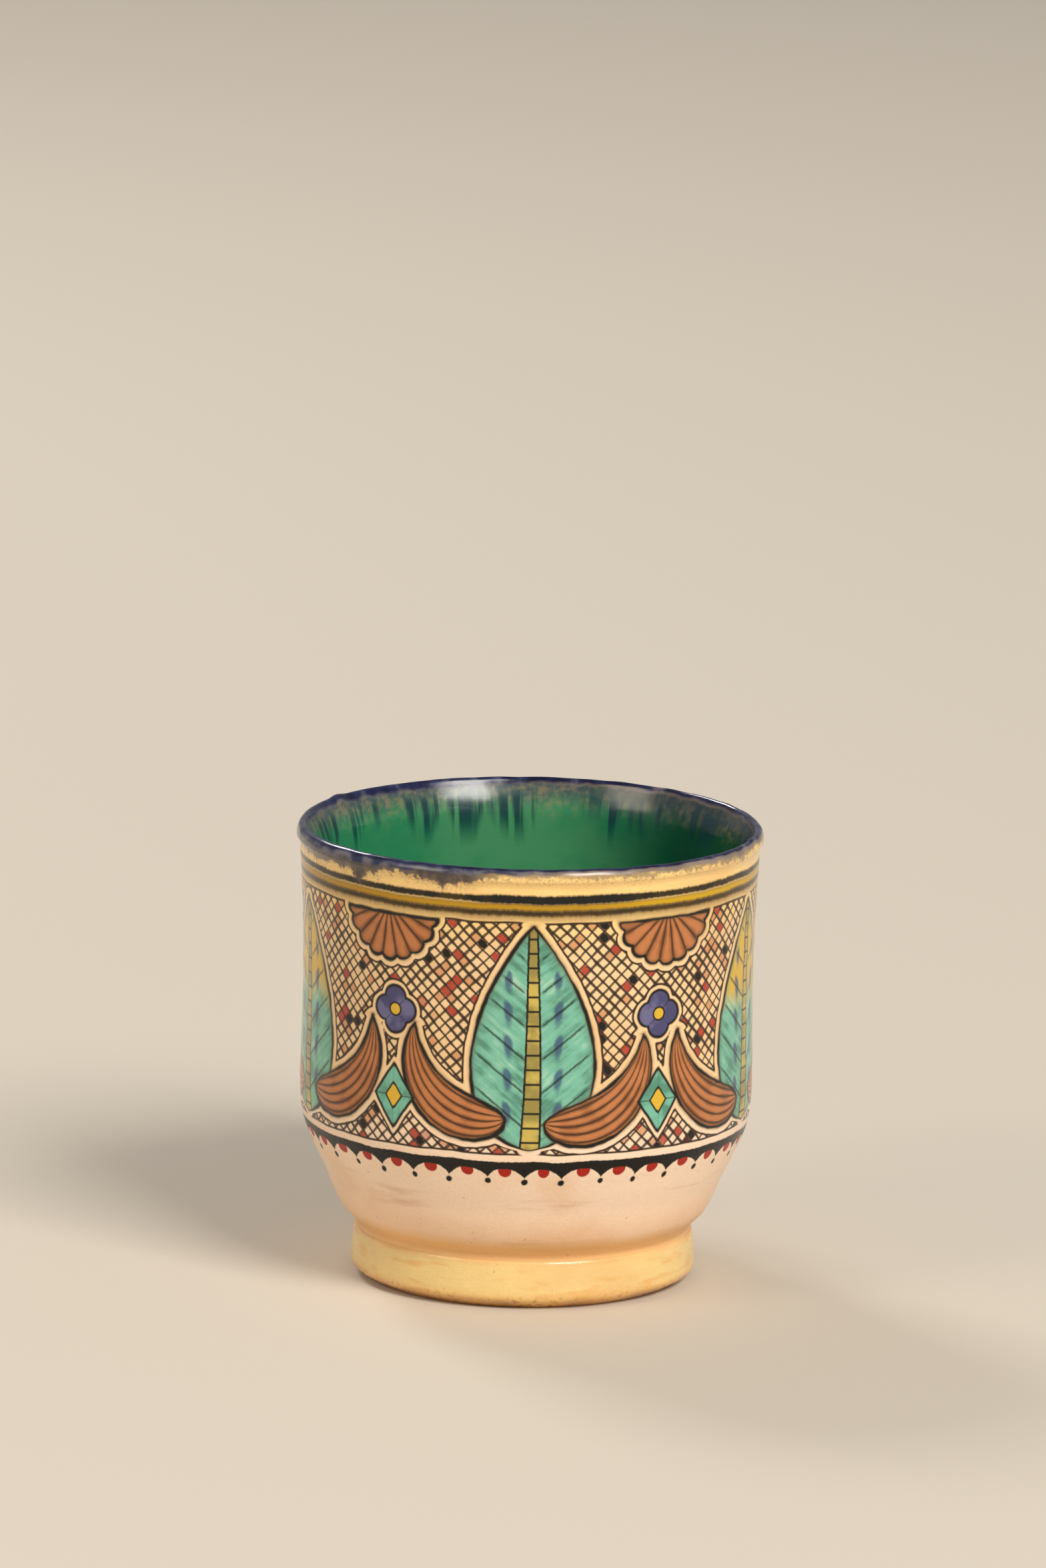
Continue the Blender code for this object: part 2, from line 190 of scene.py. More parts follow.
# %% [markdown]
# ## Light and floor
# One broad lamp to the right, a weaker one to the left, one behind and an even sky light the mug at a level
# where a colour comes out about as it is written. The lamps are large, so that the glaze shows soft windows.

# %% Hang the lamps and lay the floor
# Name, place, height it looks at, size in metres, watts and tint of each lamp
LAMPS = (
    ("key_lamp", (1.7, -2.4, 2.36), 0.04, 1.5, 128, (1.0, 0.96, 0.90)),
    ("side_lamp", (-1.3, -0.8, 0.9), 0.04, 0.6, 6, (1.0, 0.86, 0.70)),
    ("back_lamp", (-0.9, 1.3, 1.3), 0.05, 0.5, 14, (1.0, 0.97, 0.94)),
)
SKY = (0.80, 0.79, 0.77, 1.0)
SKY_STRENGTH = 0.38
FLOOR_SIZE = 9.0
FLOOR_COLOUR = (0.64, 0.575, 0.485, 1.0)
FLOOR_DULL = 0.8

for name, place, aim_height, size, power, tint in LAMPS:
    lamp_data = bpy.data.lights.new(name, "AREA")
    lamp_data.size = size
    lamp_data.energy = power
    lamp_data.color = tint
    lamp = put_in_scene(name, lamp_data)
    lamp.location = place
    lamp.rotation_euler = look(place, (0, 0, aim_height)).to_euler()

world = bpy.data.worlds.new("studio")
world.use_nodes = True
sky = world.node_tree.nodes["Background"]
sky.inputs["Color"].default_value = SKY
sky.inputs["Strength"].default_value = SKY_STRENGTH
bpy.context.scene.world = world

floor_work = bmesh.new()
bmesh.ops.create_grid(floor_work, x_segments=1, y_segments=1, size=FLOOR_SIZE)
floor = put_in_scene("floor", mesh_of(floor_work, "floor"))
floor_finish = bpy.data.materials.new("pale_floor")
floor_finish.use_nodes = True
floor_shader = floor_finish.node_tree.nodes["Principled BSDF"]
floor_shader.inputs["Base Color"].default_value = FLOOR_COLOUR
floor_shader.inputs["Roughness"].default_value = FLOOR_DULL
floor.data.materials.append(floor_finish)
print(f"{len(LAMPS)} lamps and a floor")

# %% [markdown]
# ## A wheel
# Most of the mug was made on a potter's wheel, and the screen can do the same: an outline of a few points
# is spun once round the axis. The spin closes its own seam, but it leaves doubles on the axis and may turn a
# shape inside out, so the doubles are merged and the faces then pointed outwards.

# %% Turn an outline
SAME_POINT = 0.001


def turned(line, steps, closed=False):
    """A bmesh of an outline of (radius, height) points, spun once round the axis."""
    work = bmesh.new()
    verts = [work.verts.new((radius * MM, AXIS_Y, height * MM)) for radius, height in line]
    edges = [work.edges.new(pair) for pair in zip(verts, verts[1:])]
    if closed:
        edges.append(work.edges.new((verts[-1], verts[0])))
    bmesh.ops.spin(
        work,
        geom=verts + edges,
        cent=(0, AXIS_Y, 0),
        axis=(0, 0, 1),
        angle=2 * math.pi,
        steps=steps,
        use_merge=True,
    )
    bmesh.ops.remove_doubles(work, verts=work.verts, dist=SAME_POINT * MM)
    bmesh.ops.recalc_face_normals(work, faces=work.faces)
    return work


print("wheel ready")

# %% [markdown]
# A hand never leaves clay quite round, so every turned piece is moved by a tenth of a millimetre or so, in
# one way for all of them, so that they still fit together.

# %% Leave the clay uneven
OVAL_SWELL = 0.10
WAVY_SWELL = 0.06
FINGER_RINGS = 0.03
RIM_SWAY = 0.14
STILL_BELOW = 6
STILL_WITHIN = 20


def wheel_place(point):
    """(turn, reach, height) of a point: its angle from the front, and two lengths from axis and table."""
    x, y = point.x, point.y - AXIS_Y
    return math.atan2(x, -y), math.hypot(x, y) / MM, point.z / MM


def set_on_wheel(vert, turn, reach, height):
    vert.co = (reach * MM * math.sin(turn), AXIS_Y - reach * MM * math.cos(turn), height * MM)


def leave_uneven(work):
    """Moves a turned piece as the potter's hand did, a little more towards the rim."""
    for vert in work.verts:
        turn, reach, height = wheel_place(vert.co)
        share = min(max(height / RIM_TOP, 0.0), 1.0)
        swell = OVAL_SWELL * math.sin(2 * turn + 0.6) + WAVY_SWELL * math.sin(3 * turn - height / 20)
        swell += FINGER_RINGS * math.sin(height * 0.9 + 0.8 * math.sin(turn))
        lift = RIM_SWAY * share ** 3 * math.sin(2 * turn + 2.0)
        settle = min(height / STILL_BELOW, 1.0) * min(reach / STILL_WITHIN, 1.0)
        set_on_wheel(vert, turn, reach + swell * settle, height + lift)


print(f"clay out of round by up to {OVAL_SWELL + WAVY_SWELL + FINGER_RINGS:.2f} mm")

# %% [markdown]
# Every piece is set out in the same way: it rides on the mug's one body and stands for a imported solid.


# %% Set out a piece
def set_out(work, name, node):
    """Makes a smooth piece of a bmesh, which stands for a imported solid."""
    piece = put_in_scene(name, mesh_of(work, name))
    piece.data.shade_smooth()
    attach(piece, "root")
    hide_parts(node)
    print(f"{name}: {len(piece.data.polygons)} faces")
    return piece


def throw(line, steps, name, node, closed=False):
    """A turned piece, from its outline to a finished skin."""
    work = turned(line, steps, closed)
    leave_uneven(work)
    return set_out(work, name, node)


print("pieces ready")

# %% [markdown]
# ## The painted body
# Clay and both glazes follow the same lip and the same inside, so two helpers draw those lines once, with any
# layer on them. A quarter oval and two bends need few points, and leave no corner to catch the light.

# %% Draw the lip and the inside
FLOOR_CORNER = 9.0
FLOOR_FLAT = 19.0
CORNER_PULL = 2 / 3
CORNER_POINTS = 12
BEVEL_ROWS = 7
LIP_LEAN = 0.5


def spaced(low, high, count):
    """Evenly spaced numbers, with both ends."""
    return [low + (high - low) * i / (count - 1) for i in range(count)]


def bend(start, first, second, end, count):
    """Points on a bend between two (radius, height) points, pulled towards two others."""
    corners = [Vector((*corner, 0.0)) for corner in (start, first, second, end)]
    return [(point.x, point.y) for point in interpolate_bezier(*corners, count)]


def lip_line(layer, points):
    """Over the lip with a layer of glaze on it: a quarter oval outside, then a fall into the bevel."""
    outer, inner = wall_radius(LIP_HEIGHT), inside_radius(LIP_HEIGHT)
    middle, reach, rise = (outer + inner) / 2, (outer - inner) / 2 + layer, LIP_ROUND + layer
    line = []
    for angle in spaced(0.0, math.pi / 2, points):
        line.append((middle + reach * math.cos(angle), LIP_HEIGHT + rise * math.sin(angle)))
    crest, edge = (middle, LIP_HEIGHT + rise), (middle - reach, LIP_HEIGHT)
    over = (middle - reach / 2, crest[1])
    under = (edge[0] + LIP_LEAN * rise / 2, LIP_HEIGHT + rise / 2)
    return line + bend(crest, over, under, edge, points)[1:]


def inside_line(layer, top, wall_rows):
    """The inside from a height down to the middle of its floor, with a layer of glaze on it."""
    corner = FLOOR_HEIGHT + FLOOR_CORNER
    floor_level = FLOOR_HEIGHT + layer
    steps = spaced(top, BEVEL_LOW, BEVEL_ROWS) + spaced(BEVEL_LOW, corner, wall_rows)[1:]
    line = [(inside_radius(z) - layer, z) for z in steps]
    start = inside_radius(corner) - layer
    slope = inside_radius(corner + 0.5) - inside_radius(corner - 0.5)
    knee = start - slope * (FLOOR_CORNER - layer)
    first = (start + (knee - start) * CORNER_PULL, corner + (floor_level - corner) * CORNER_PULL)
    second = (FLOOR_FLAT + (knee - FLOOR_FLAT) * CORNER_PULL, floor_level)
    line += bend((start, corner), first, second, (FLOOR_FLAT, floor_level), CORNER_POINTS)[1:]
    return line + [(FLOOR_FLAT / 2, floor_level), (0.0, floor_level)]


print(f"inside {inside_radius(LIP_HEIGHT):.2f} at the lip, its floor {FLOOR_HEIGHT:.2f} above the table")

# %% [markdown]
# The clay wall carries the painting, so its outside needs a fine grid: later each grid point learns how far
# it lies from the edge of the nearest painted shape. Below and above the painted band, and inside, where
# glaze hides the clay, the rows can be far apart.

# %% Throw the body
UNDERSIDE_RADII = (0.0, 12.0, 24.0)
FRIEZE_LOW = 31.0
FRIEZE_HIGH = 75.8
FRIEZE_ROW = 0.42
PLAIN_ROW = 1.0
BODY_STEPS = 540


def rows(low, high, pitch):
    count = max(2, round((high - low) / pitch) + 1)
    return spaced(low, high, count)


heights = rows(NECK_HEIGHT, FRIEZE_LOW, PLAIN_ROW)
heights += rows(FRIEZE_LOW, FRIEZE_HIGH, FRIEZE_ROW)[1:]
heights += rows(FRIEZE_HIGH, LIP_HEIGHT, PLAIN_ROW)[1:-1]
body_line = [(radius, NECK_HEIGHT) for radius in UNDERSIDE_RADII]
body_line += [(wall_radius(z), z) for z in heights]
body_line += lip_line(0.0, points=5) + inside_line(0.0, LIP_HEIGHT, wall_rows=8)[1:]
body = throw(body_line, BODY_STEPS, "painted_body", "thrown_body")

# %% [markdown]
# ## The foot
# A ring of clay with a rounded ridge at its top, and a thin fillet of slip worked into the corner under the
# bowl, where the glaze gathers and fires darker, and painted shade darkens it further. Arcs give the ring its
# soft edges, and one bend the fillet.

# %% Turn the foot and its fillet
FOOT_STEPS = 240
FOOT_WIDTH = 5.6
RIDGE_ROUND = 0.9
RIDGE_PROUD = 0.65
RIDGE_DROP = 0.5
SOLE_ROUND = 1.7
SOLE_LIFT = 0.9
HEEL_ROUND = 1.0
HEEL_SET_IN = 2.1
FILLET_TOP = 12.6
FILLET_SUNK = 0.04
FILLET_LEVEL = 1.1
FILLET_POINTS = 14
foot_outline = outline("foot_ring")
FOOT_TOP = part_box("foot_ring")[1].z / MM
FOOT_RADIUS = max(radius for height, radius in foot_outline)
FOOT_INNER = FOOT_RADIUS - FOOT_WIDTH


def arc(centre, radius, first, last, points):
    """Points on an arc between two angles in degrees."""
    angles = [math.radians(degrees) for degrees in spaced(first, last, points)]
    return [(centre[0] + radius * math.cos(a), centre[1] + radius * math.sin(a)) for a in angles]


ridge = (NECK_RADIUS + RIDGE_PROUD - RIDGE_ROUND, FOOT_TOP - RIDGE_DROP - RIDGE_ROUND)
foot_line = [(FOOT_INNER, FOOT_TOP), (NECK_RADIUS - 1.2, FOOT_TOP - 0.2)]
foot_line += arc(ridge, RIDGE_ROUND, 80, 5, 6)
foot_line += [(FOOT_RADIUS - 0.22, 6.2), (FOOT_RADIUS - 0.06, 4.4)]
foot_line += arc((FOOT_RADIUS - SOLE_ROUND, SOLE_ROUND + SOLE_LIFT), SOLE_ROUND, 5, -45, 5)
foot_line += arc((FOOT_RADIUS - HEEL_SET_IN - HEEL_ROUND, HEEL_ROUND), HEEL_ROUND, -35, -90, 4)
foot_line += arc((FOOT_INNER + HEEL_ROUND, HEEL_ROUND), HEEL_ROUND, 270, 180, 5)
foot_line += [(FOOT_INNER, 4.0), (FOOT_INNER, 7.0)]
foot = throw(foot_line, FOOT_STEPS, "turned_foot", "foot_ring", closed=True)

fillet_reach = wall_radius(FILLET_TOP) - FILLET_SUNK
under_bowl = FILLET_TOP - FILLET_LEVEL
fillet_line = bend(
    (NECK_RADIUS + 0.35, FOOT_TOP - 0.8),
    (NECK_RADIUS - 0.2, FOOT_TOP + 0.2),
    (wall_radius(under_bowl), under_bowl),
    (fillet_reach, FILLET_TOP),
    FILLET_POINTS,
)
fillet_line += [(fillet_reach - 1.2, FILLET_TOP - 0.9), (NECK_RADIUS - 1.0, FOOT_TOP - 0.6)]
fillet = throw(fillet_line, FOOT_STEPS, "foot_fillet", "foot_lute", closed=True)

# %% [markdown]
# ## The two glazes
# Blue glaze was brushed on the lip and ran, over the bevel inside more than down the outside. Green glaze
# lines the cup and goes up under the blue. Each is a thin skin: the blue one is spun with even edges, and
# then its lower rows slide down the wall, further where the glaze was thick, and sink into the skin below.

# %% Say how the glaze runs
SWELL_SHARE = 0.35
DRIP_SHARE = 0.45
LIP_MIDDLE = (wall_radius(LIP_HEIGHT) + inside_radius(LIP_HEIGHT)) / 2
LUMP_RISE = 0.12
LUMPS_ROUND = 9
# Turn, half width in turn and height of each bead on the lip
BEADS = ((-2.11, 0.05, 0.40), (1.31, 0.03, 0.30))


def run_share(turn, coarse, fine, seed):
    """Length of a run of glaze at an angle, as a share of the mean: slow swells with narrow drips."""
    ring = Vector((math.sin(turn), math.cos(turn), 0))
    swell = noise.noise(ring * coarse + Vector((0, 0, seed)))
    drip = noise.noise(ring * fine + Vector((0, 0, seed + 7)))
    return 1 + SWELL_SHARE * swell + DRIP_SHARE * drip


def lump_rise(turn):
    """How far the glaze on the lip swells at an angle: all round a little, and in two beads."""
    ring = Vector((math.sin(turn), math.cos(turn), 0))
    rise = LUMP_RISE * noise.noise(ring * LUMPS_ROUND)
    for bead_turn, half_turn, most in BEADS:
        rise += most * math.exp(-(((turn - bead_turn) / half_turn) ** 2))
    return rise


def let_run(vert):
    """Swells a point of the rim's glaze that lies on the lip, and slides one below it down the wall."""
    turn, reach, height = wheel_place(vert.co)
    if height > LIP_HEIGHT - SAME_POINT:
        out = Vector((reach - LIP_MIDDLE, height - LIP_HEIGHT)).normalized()
        swollen = lump_rise(turn) * min(1.0, (height - LIP_HEIGHT) / LIP_ROUND)
        set_on_wheel(vert, turn, reach + out.x * swollen, height + out.y * swollen)
        return
    if reach > (wall_radius(height) + inside_radius(height)) / 2:
        share = run_share(turn, coarse=2.0, fine=5.0, seed=3.0)
        wall = wall_radius
    else:
        share = run_share(turn, coarse=2.5, fine=8.0, seed=11.0)
        wall = inside_radius
    slid = LIP_HEIGHT - (LIP_HEIGHT - height) * share
    set_on_wheel(vert, turn, reach + wall(slid) - wall(height), slid)


print(f"glaze swells {lump_rise(BEADS[0][0]):.2f} mm in its larger bead")

# %% [markdown]
# The outline of the blue glaze goes up the outside, over the lip and down the inside, and comes back a little
# below the face of the clay. That closes the skin, and no gap can open under it.

# %% Lay the blue glaze over the lip
OUTER_RUN = 1.9
INNER_RUN = 5.5
FEATHER = -0.03
BEDDED = 0.15
LINING = 0.45
GLAZE_STEPS = 420
RUN_ROWS = 9


def glaze_depth(share, full):
    """Thickness of a run, from its full depth at the lip to an edge that sinks into what is under it."""
    return FEATHER + (full - FEATHER) * (1 - share) ** 2


def down_wall(wall, run, shares, layer):
    """Points down one side of the wall, at shares of a run from the lip, a layer off the clay."""
    heights = [LIP_HEIGHT - run * share for share in shares]
    return [(wall(height) + layer(share), height) for share, height in zip(shares, heights)]


rim_line = down_wall(wall_radius, OUTER_RUN, spaced(1.0, 0.0, RUN_ROWS), lambda t: glaze_depth(t, GLASS))
rim_line += lip_line(GLASS, points=7)[1:-1]
rim_line += down_wall(
    inside_radius,
    INNER_RUN,
    spaced(0.0, 1.0, RUN_ROWS),
    lambda t: -LINING - glaze_depth(t, GLASS - LINING),
)
rim_line += down_wall(inside_radius, INNER_RUN, (1.0, 0.5, 0.0), lambda _: BEDDED)
rim_line += list(reversed(lip_line(-BEDDED, points=4)))[1:-1]
rim_line += down_wall(wall_radius, OUTER_RUN, (0.0, 1.0), lambda _: -BEDDED)

rim_work = turned(rim_line, GLAZE_STEPS, closed=True)
for vert in rim_work.verts:
    let_run(vert)
leave_uneven(rim_work)
rim = set_out(rim_work, "rim_run_glaze", "rim_glaze")

# %% [markdown]
# The lining is a plain turned skin with a face and a back. Its upper edge hides under the blue glaze.

# %% Line the cup with green glaze
LINING_DROP = 1.5
LINING_TOP = LIP_HEIGHT - LINING_DROP
lining_face = inside_line(LINING, LINING_TOP, wall_rows=34)
lining_back = inside_line(-BEDDED, LINING_TOP, wall_rows=12)
lining_line = lining_face + list(reversed(lining_back))
lining = throw(lining_line, GLAZE_STEPS // 2, "green_lining", "glaze_lining")

# %% [markdown]
# ## The handle
# A handle is pulled from a lump of wet clay to a strap, bent, and luted to the wall at both ends: a little
# soft clay is worked round each joint until strap and wall flow together. Both are lofted here. A ring of
# points is extruded from stop to stop, and each point keeps its angle round the ring, so that a formula can
# say where it goes at every stop.


# %% Loft rings into a skin
def loft(rings, sides, joined):
    """A bmesh through rings of (length along, function from an angle to a point in millimetres)."""
    work = bmesh.new()
    round_layer = work.verts.layers.float.new("round")
    along_layer = work.verts.layers.float.new("along")
    bmesh.ops.create_circle(work, cap_ends=False, segments=sides, radius=1.0)
    for vert in work.verts:
        vert[round_layer] = math.atan2(vert.co.y, vert.co.x)
    verts = list(work.verts)
    first_edges = list(work.edges)
    edges = first_edges
    for count, (along, place) in enumerate(rings):
        if count:
            made = bmesh.ops.extrude_edge_only(work, edges=edges)["geom"]
            verts = [part for part in made if isinstance(part, bmesh.types.BMVert)]
            made_edges = [part for part in made if isinstance(part, bmesh.types.BMEdge)]
            fresh = set(verts)
            edges = [edge for edge in made_edges if fresh.issuperset(edge.verts)]
        for vert in verts:
            vert[along_layer] = along
            vert.co = place(vert[round_layer]) * MM
    if joined:
        bmesh.ops.bridge_loops(work, edges=first_edges + edges)
    else:
        bmesh.ops.holes_fill(work, edges=first_edges + edges, sides=sides)
    bmesh.ops.recalc_face_normals(work, faces=work.faces)
    return work


print("loft ready")

# %% [markdown]
# The strap leaves the wall straight, lifted a little from square to it, and two bends meet at its crown. It
# thins towards the crown, as pulled clay does.

# %% Trace the strap
HANDLE_DROP = 18.0
LOWER_JOINT = 33.05
HANDLE_REACH = 31.0
STRAP_THICKNESS = 8.0
CROWN_TAPER = 0.82
TAIL_TAPER = 0.88
UPPER_LIFT = math.radians(18)
LOWER_LIFT = math.radians(24)
CROWN_LEVEL = 0.62
UPPER_FULLNESS = 0.42
CROWN_FULLNESS = 0.36
LOWER_FULLNESS = 0.55
LUTE_LENGTH = 5.0
STRAP_BURIED = 1.2
BEND_STOPS = 28
BELOW_FLARE = 60
WALL_STEP = 0.25
CENTRE = Vector((0.0, AXIS_Y / MM, 0.0))
BELLY_RADIUS = max(radius for height, radius in clay if height < BELOW_FLARE)


def joint_on_wall(height, lift):
    """(place, way out) of the strap where it meets the wall, lifted from square to it."""
    slope = (wall_radius(height + WALL_STEP) - wall_radius(height - WALL_STEP)) / (2 * WALL_STEP)
    tilt = lift - math.atan(slope)
    place = CENTRE + Vector((0.0, wall_radius(height), height))
    return place, Vector((0.0, math.cos(tilt), math.sin(tilt)))


def strap_path():
    """(place, way along, taper) at each stop down the strap, straight in its lutes."""
    (top, top_way), (bottom, bottom_way) = UPPER, LOWER
    leave, arrive = top + top_way * LUTE_LENGTH, bottom + bottom_way * LUTE_LENGTH
    span = top.z - bottom.z
    crown_reach = BELLY_RADIUS + HANDLE_REACH - CROWN_TAPER * STRAP_THICKNESS / 2
    crown = CENTRE + Vector((0.0, crown_reach, bottom.z + CROWN_LEVEL * span))
    turn = Vector((0.0, 0.0, CROWN_FULLNESS * span))
    upper_pull = leave + top_way * HANDLE_REACH * UPPER_FULLNESS
    lower_pull = arrive + bottom_way * HANDLE_REACH * LOWER_FULLNESS
    upper_bend = interpolate_bezier(leave, upper_pull, crown + turn, crown, BEND_STOPS + 1)
    lower_bend = interpolate_bezier(crown, crown - turn, lower_pull, arrive, BEND_STOPS + 1)
    easing = [t * t * (3 - 2 * t) for t in spaced(0.0, 1.0, BEND_STOPS + 1)]
    places = [top - top_way * STRAP_BURIED, top] + upper_bend + lower_bend[1:]
    places += [bottom, bottom - bottom_way * STRAP_BURIED]
    tapers = [1.0, 1.0] + [1 + (CROWN_TAPER - 1) * t for t in easing]
    tapers += [CROWN_TAPER + (TAIL_TAPER - CROWN_TAPER) * t for t in easing[1:]] + [TAIL_TAPER] * 2
    ways = [top_way] * 3
    ways += [(after - before).normalized() for before, after in zip(places[2:], places[4:-2])]
    ways += [-bottom_way] * 3
    return list(zip(places, ways, tapers))


UPPER = joint_on_wall(RIM_TOP - HANDLE_DROP, UPPER_LIFT)
LOWER = joint_on_wall(LOWER_JOINT, LOWER_LIFT)
print(f"joints {UPPER[0].z:.2f} and {LOWER[0].z:.2f} above the table")

# %% [markdown]
# Across, the strap is an oval with a thumb's groove down its outer face. Each ring of the loft keeps its
# length along the strap, which places the brush strokes later.

# %% Pull the strap
STRAP_WIDTH = 16.0
STRAP_GROOVE = 0.9
GROOVE_SHARPNESS = 6
STRAP_SIDES = 48
ACROSS = Vector((1.0, 0.0, 0.0))


def strap_point(place, way, taper, grow, angle, groove=STRAP_GROOVE):
    """A point on the oval round the strap, with a shallow groove down its outer face."""
    outward = ACROSS.cross(way)
    wide = (taper * STRAP_WIDTH / 2 + grow) * math.cos(angle)
    thick = (taper * STRAP_THICKNESS / 2 + grow) * math.sin(angle)
    thick -= groove * max(0.0, math.sin(angle)) ** GROOVE_SHARPNESS
    return place + ACROSS * wide + outward * thick


def strap_ring(place, way, taper):
    return lambda angle: strap_point(place, way, taper, 0.0, angle)


strap_rings = []
length = -STRAP_BURIED
last_place = None
for place, way, taper in strap_path():
    if last_place is not None:
        length += (place - last_place).length
    last_place = place
    strap_rings.append((length, strap_ring(place, way, taper)))
STRAP_LENGTH = length
strap_work = loft(strap_rings, STRAP_SIDES, joined=False)
handle = set_out(strap_work, "pulled_handle", "handle")
print(f"strap {STRAP_LENGTH:.0f} long")

# %% [markdown]
# Each lute is a hollow curve from the wall to the strap. At every angle round the strap, its section is a
# bend that leaves the wall level and ends along the strap, so the joint has no edge on either side.

# %% Lute the handle to the wall
LUTE_SPREAD = 3.4
LUTE_WAVER = 0.12
LUTE_COVER = 0.9
LUTE_STOPS = 12
LUTE_SIDES = 64
LUTE_SKIN = 0.06
LUTE_BURIED = 0.5
WALL_TRIES = 12


def on_wall(point, layer):
    """The point on the clay, or a layer off it, at the same height and angle."""
    out = Vector((point.x - CENTRE.x, point.y - CENTRE.y, 0.0)).normalized()
    return CENTRE + out * (wall_radius(point.z) + layer) + Vector((0.0, 0.0, point.z))


def along_to_wall(point, way):
    """Where a line along the strap through a point reaches the wall."""
    for _ in range(WALL_TRIES):
        gap = math.hypot(point.x - CENTRE.x, point.y - CENTRE.y) - wall_radius(point.z)
        point = point - way * gap
    return point


def lute_ring(joint, taper, share, skin):
    """A ring of a lute, a share of the way from its foot on the wall to its edge on the strap."""
    place, way = joint

    def at(angle):
        spread = LUTE_SPREAD * (1 + LUTE_WAVER * math.sin(3 * angle + 0.5))
        corner = along_to_wall(strap_point(place, way, taper, skin, angle), way)
        rim_of_lute = along_to_wall(strap_point(place, way, taper, spread, angle, 0.0), way)
        edge = corner + way * LUTE_LENGTH * LUTE_COVER
        first = on_wall(rim_of_lute, skin).lerp(corner, share)
        second = corner.lerp(edge, share)
        return first.lerp(second, share)

    return at


def make_lute(name, joint, taper, node):
    face = [(share, LUTE_SKIN) for share in spaced(0.0, 1.0, LUTE_STOPS)]
    back = [(share, -LUTE_BURIED) for share in (1.0, 0.5, 0.0)]
    rings = [(LUTE_LENGTH * share, lute_ring(joint, taper, share, skin)) for share, skin in face + back]
    return set_out(loft(rings, LUTE_SIDES, joined=True), name, node)


upper_lute = make_lute("upper_lute", UPPER, 1.0, "upper_handle_lute")
lower_lute = make_lute("lower_lute", LOWER, TAIL_TAPER, "lower_handle_lute")

# %% [markdown]
# ## Drawing the frieze
# The band is drawn once as plain geometry in a flat strip, as wide as the wall is long round its middle.
# For every shape a formula says how far a point lies inside its edge. The numbers are stored on the points
# of the body, and the finish turns them into fills, brush outlines and bare margins. Because the distance
# changes evenly across an edge, the painted line stays crisp between the points.

# %% Formulas for the leaves
FRIEZE_RADIUS = 41.5
REPEATS = 5
STEP = 2 * math.pi / REPEATS
LEAF_BASE = 32.5
LEAF_LENGTH = 41.0
LEAF_HALF = 11.4
BASE_ROUND = 0.55
TIP_ROUND = 0.95
FULLEST = 0.373
LEAF_LEAN = 0.05
LEAF_SWAY = 0.9
LEAF_VARIES = 0.8
CURL_ASIDE = 7.6
CURL_HEIGHT = 51.6
CURL_RADIUS = 14.4
CURL_START = math.radians(-106)
CURL_LENGTH = 29.0
CURL_HALF = 4.3
CURL_RIBS = 2.5
CURL_VARIES = 0.5


def leaf_shape(along, across, length, half_width):
    """(distance in from the edge, half width) of a leaf with a round base and a long tip."""
    share = np.clip(along / length, 0.001, 0.999)
    half = half_width * share ** BASE_ROUND * (1 - share) ** TIP_ROUND / FULLEST
    slope = half * (BASE_ROUND / share - TIP_ROUND / (1 - share)) / length
    edge = (half - np.abs(across)) / np.sqrt(1 + np.minimum(slope ** 2, 2.0))
    beyond = np.maximum(-along, along - length)
    return np.where(beyond > 0, -np.hypot(beyond, 0.6 * across), edge), half


def tall_leaves(turn, height):
    """Edge and (along, across, kind) of the upright leaves, each with a lean of its own."""
    cell = np.round(turn / STEP)
    hand = np.sin(2.4 * cell + 0.7)
    along = height - LEAF_BASE
    across = (turn - cell * STEP) * FRIEZE_RADIUS - LEAF_LEAN * hand * along
    across = across - LEAF_SWAY * np.sin(2.3 * along / LEAF_LENGTH + 2 * hand)
    edge = leaf_shape(along, across, LEAF_LENGTH + LEAF_VARIES * hand, LEAF_HALF)[0]
    kind = np.where(np.abs(cell) == 1, 1.0, 0.0)
    return edge, np.stack([along, across, kind], axis=-1)


def curled_leaves(turn, height):
    """Edge, share along and rib count of the two ribbed leaves that curl up beside each tall one."""
    cell = np.round(turn / STEP)
    flat = (turn - cell * STEP) * FRIEZE_RADIUS
    bend_radius = CURL_RADIUS + CURL_VARIES * np.sin(1.9 * cell + np.sign(flat))
    x, z = np.abs(flat) - CURL_ASIDE, height - CURL_HEIGHT
    along = (np.arctan2(z, x) - CURL_START) * bend_radius
    across = np.hypot(x, z) - bend_radius
    edge, half = leaf_shape(along, across, CURL_LENGTH, CURL_HALF)
    return edge, along / CURL_LENGTH, CURL_RIBS * across / half


print(f"{REPEATS} repeats, {STEP * FRIEZE_RADIUS:.1f} mm each")

# %% [markdown]
# Between the leaves hang shells, whose ribs fan out from the top. None is drawn behind the handle.

# %% Formulas for the shells
SHELL_TOP = 76.0
SHELL_CUT = 74.3
SHELL_RADIUS = 10.4
SHELL_LOBES = 9
SHELL_LOBE = math.radians(180 / SHELL_LOBES)
SHELL_NOTCH = 0.09
SHELL_SHIFT = 0.8
FAR = -99.0


def between_leaves(turn):
    """The number of each gap between two leaves, and whether the handle stands in it."""
    bound = np.floor(turn / STEP) + 0.5
    return bound, np.abs(bound) > REPEATS / 2 - 0.25


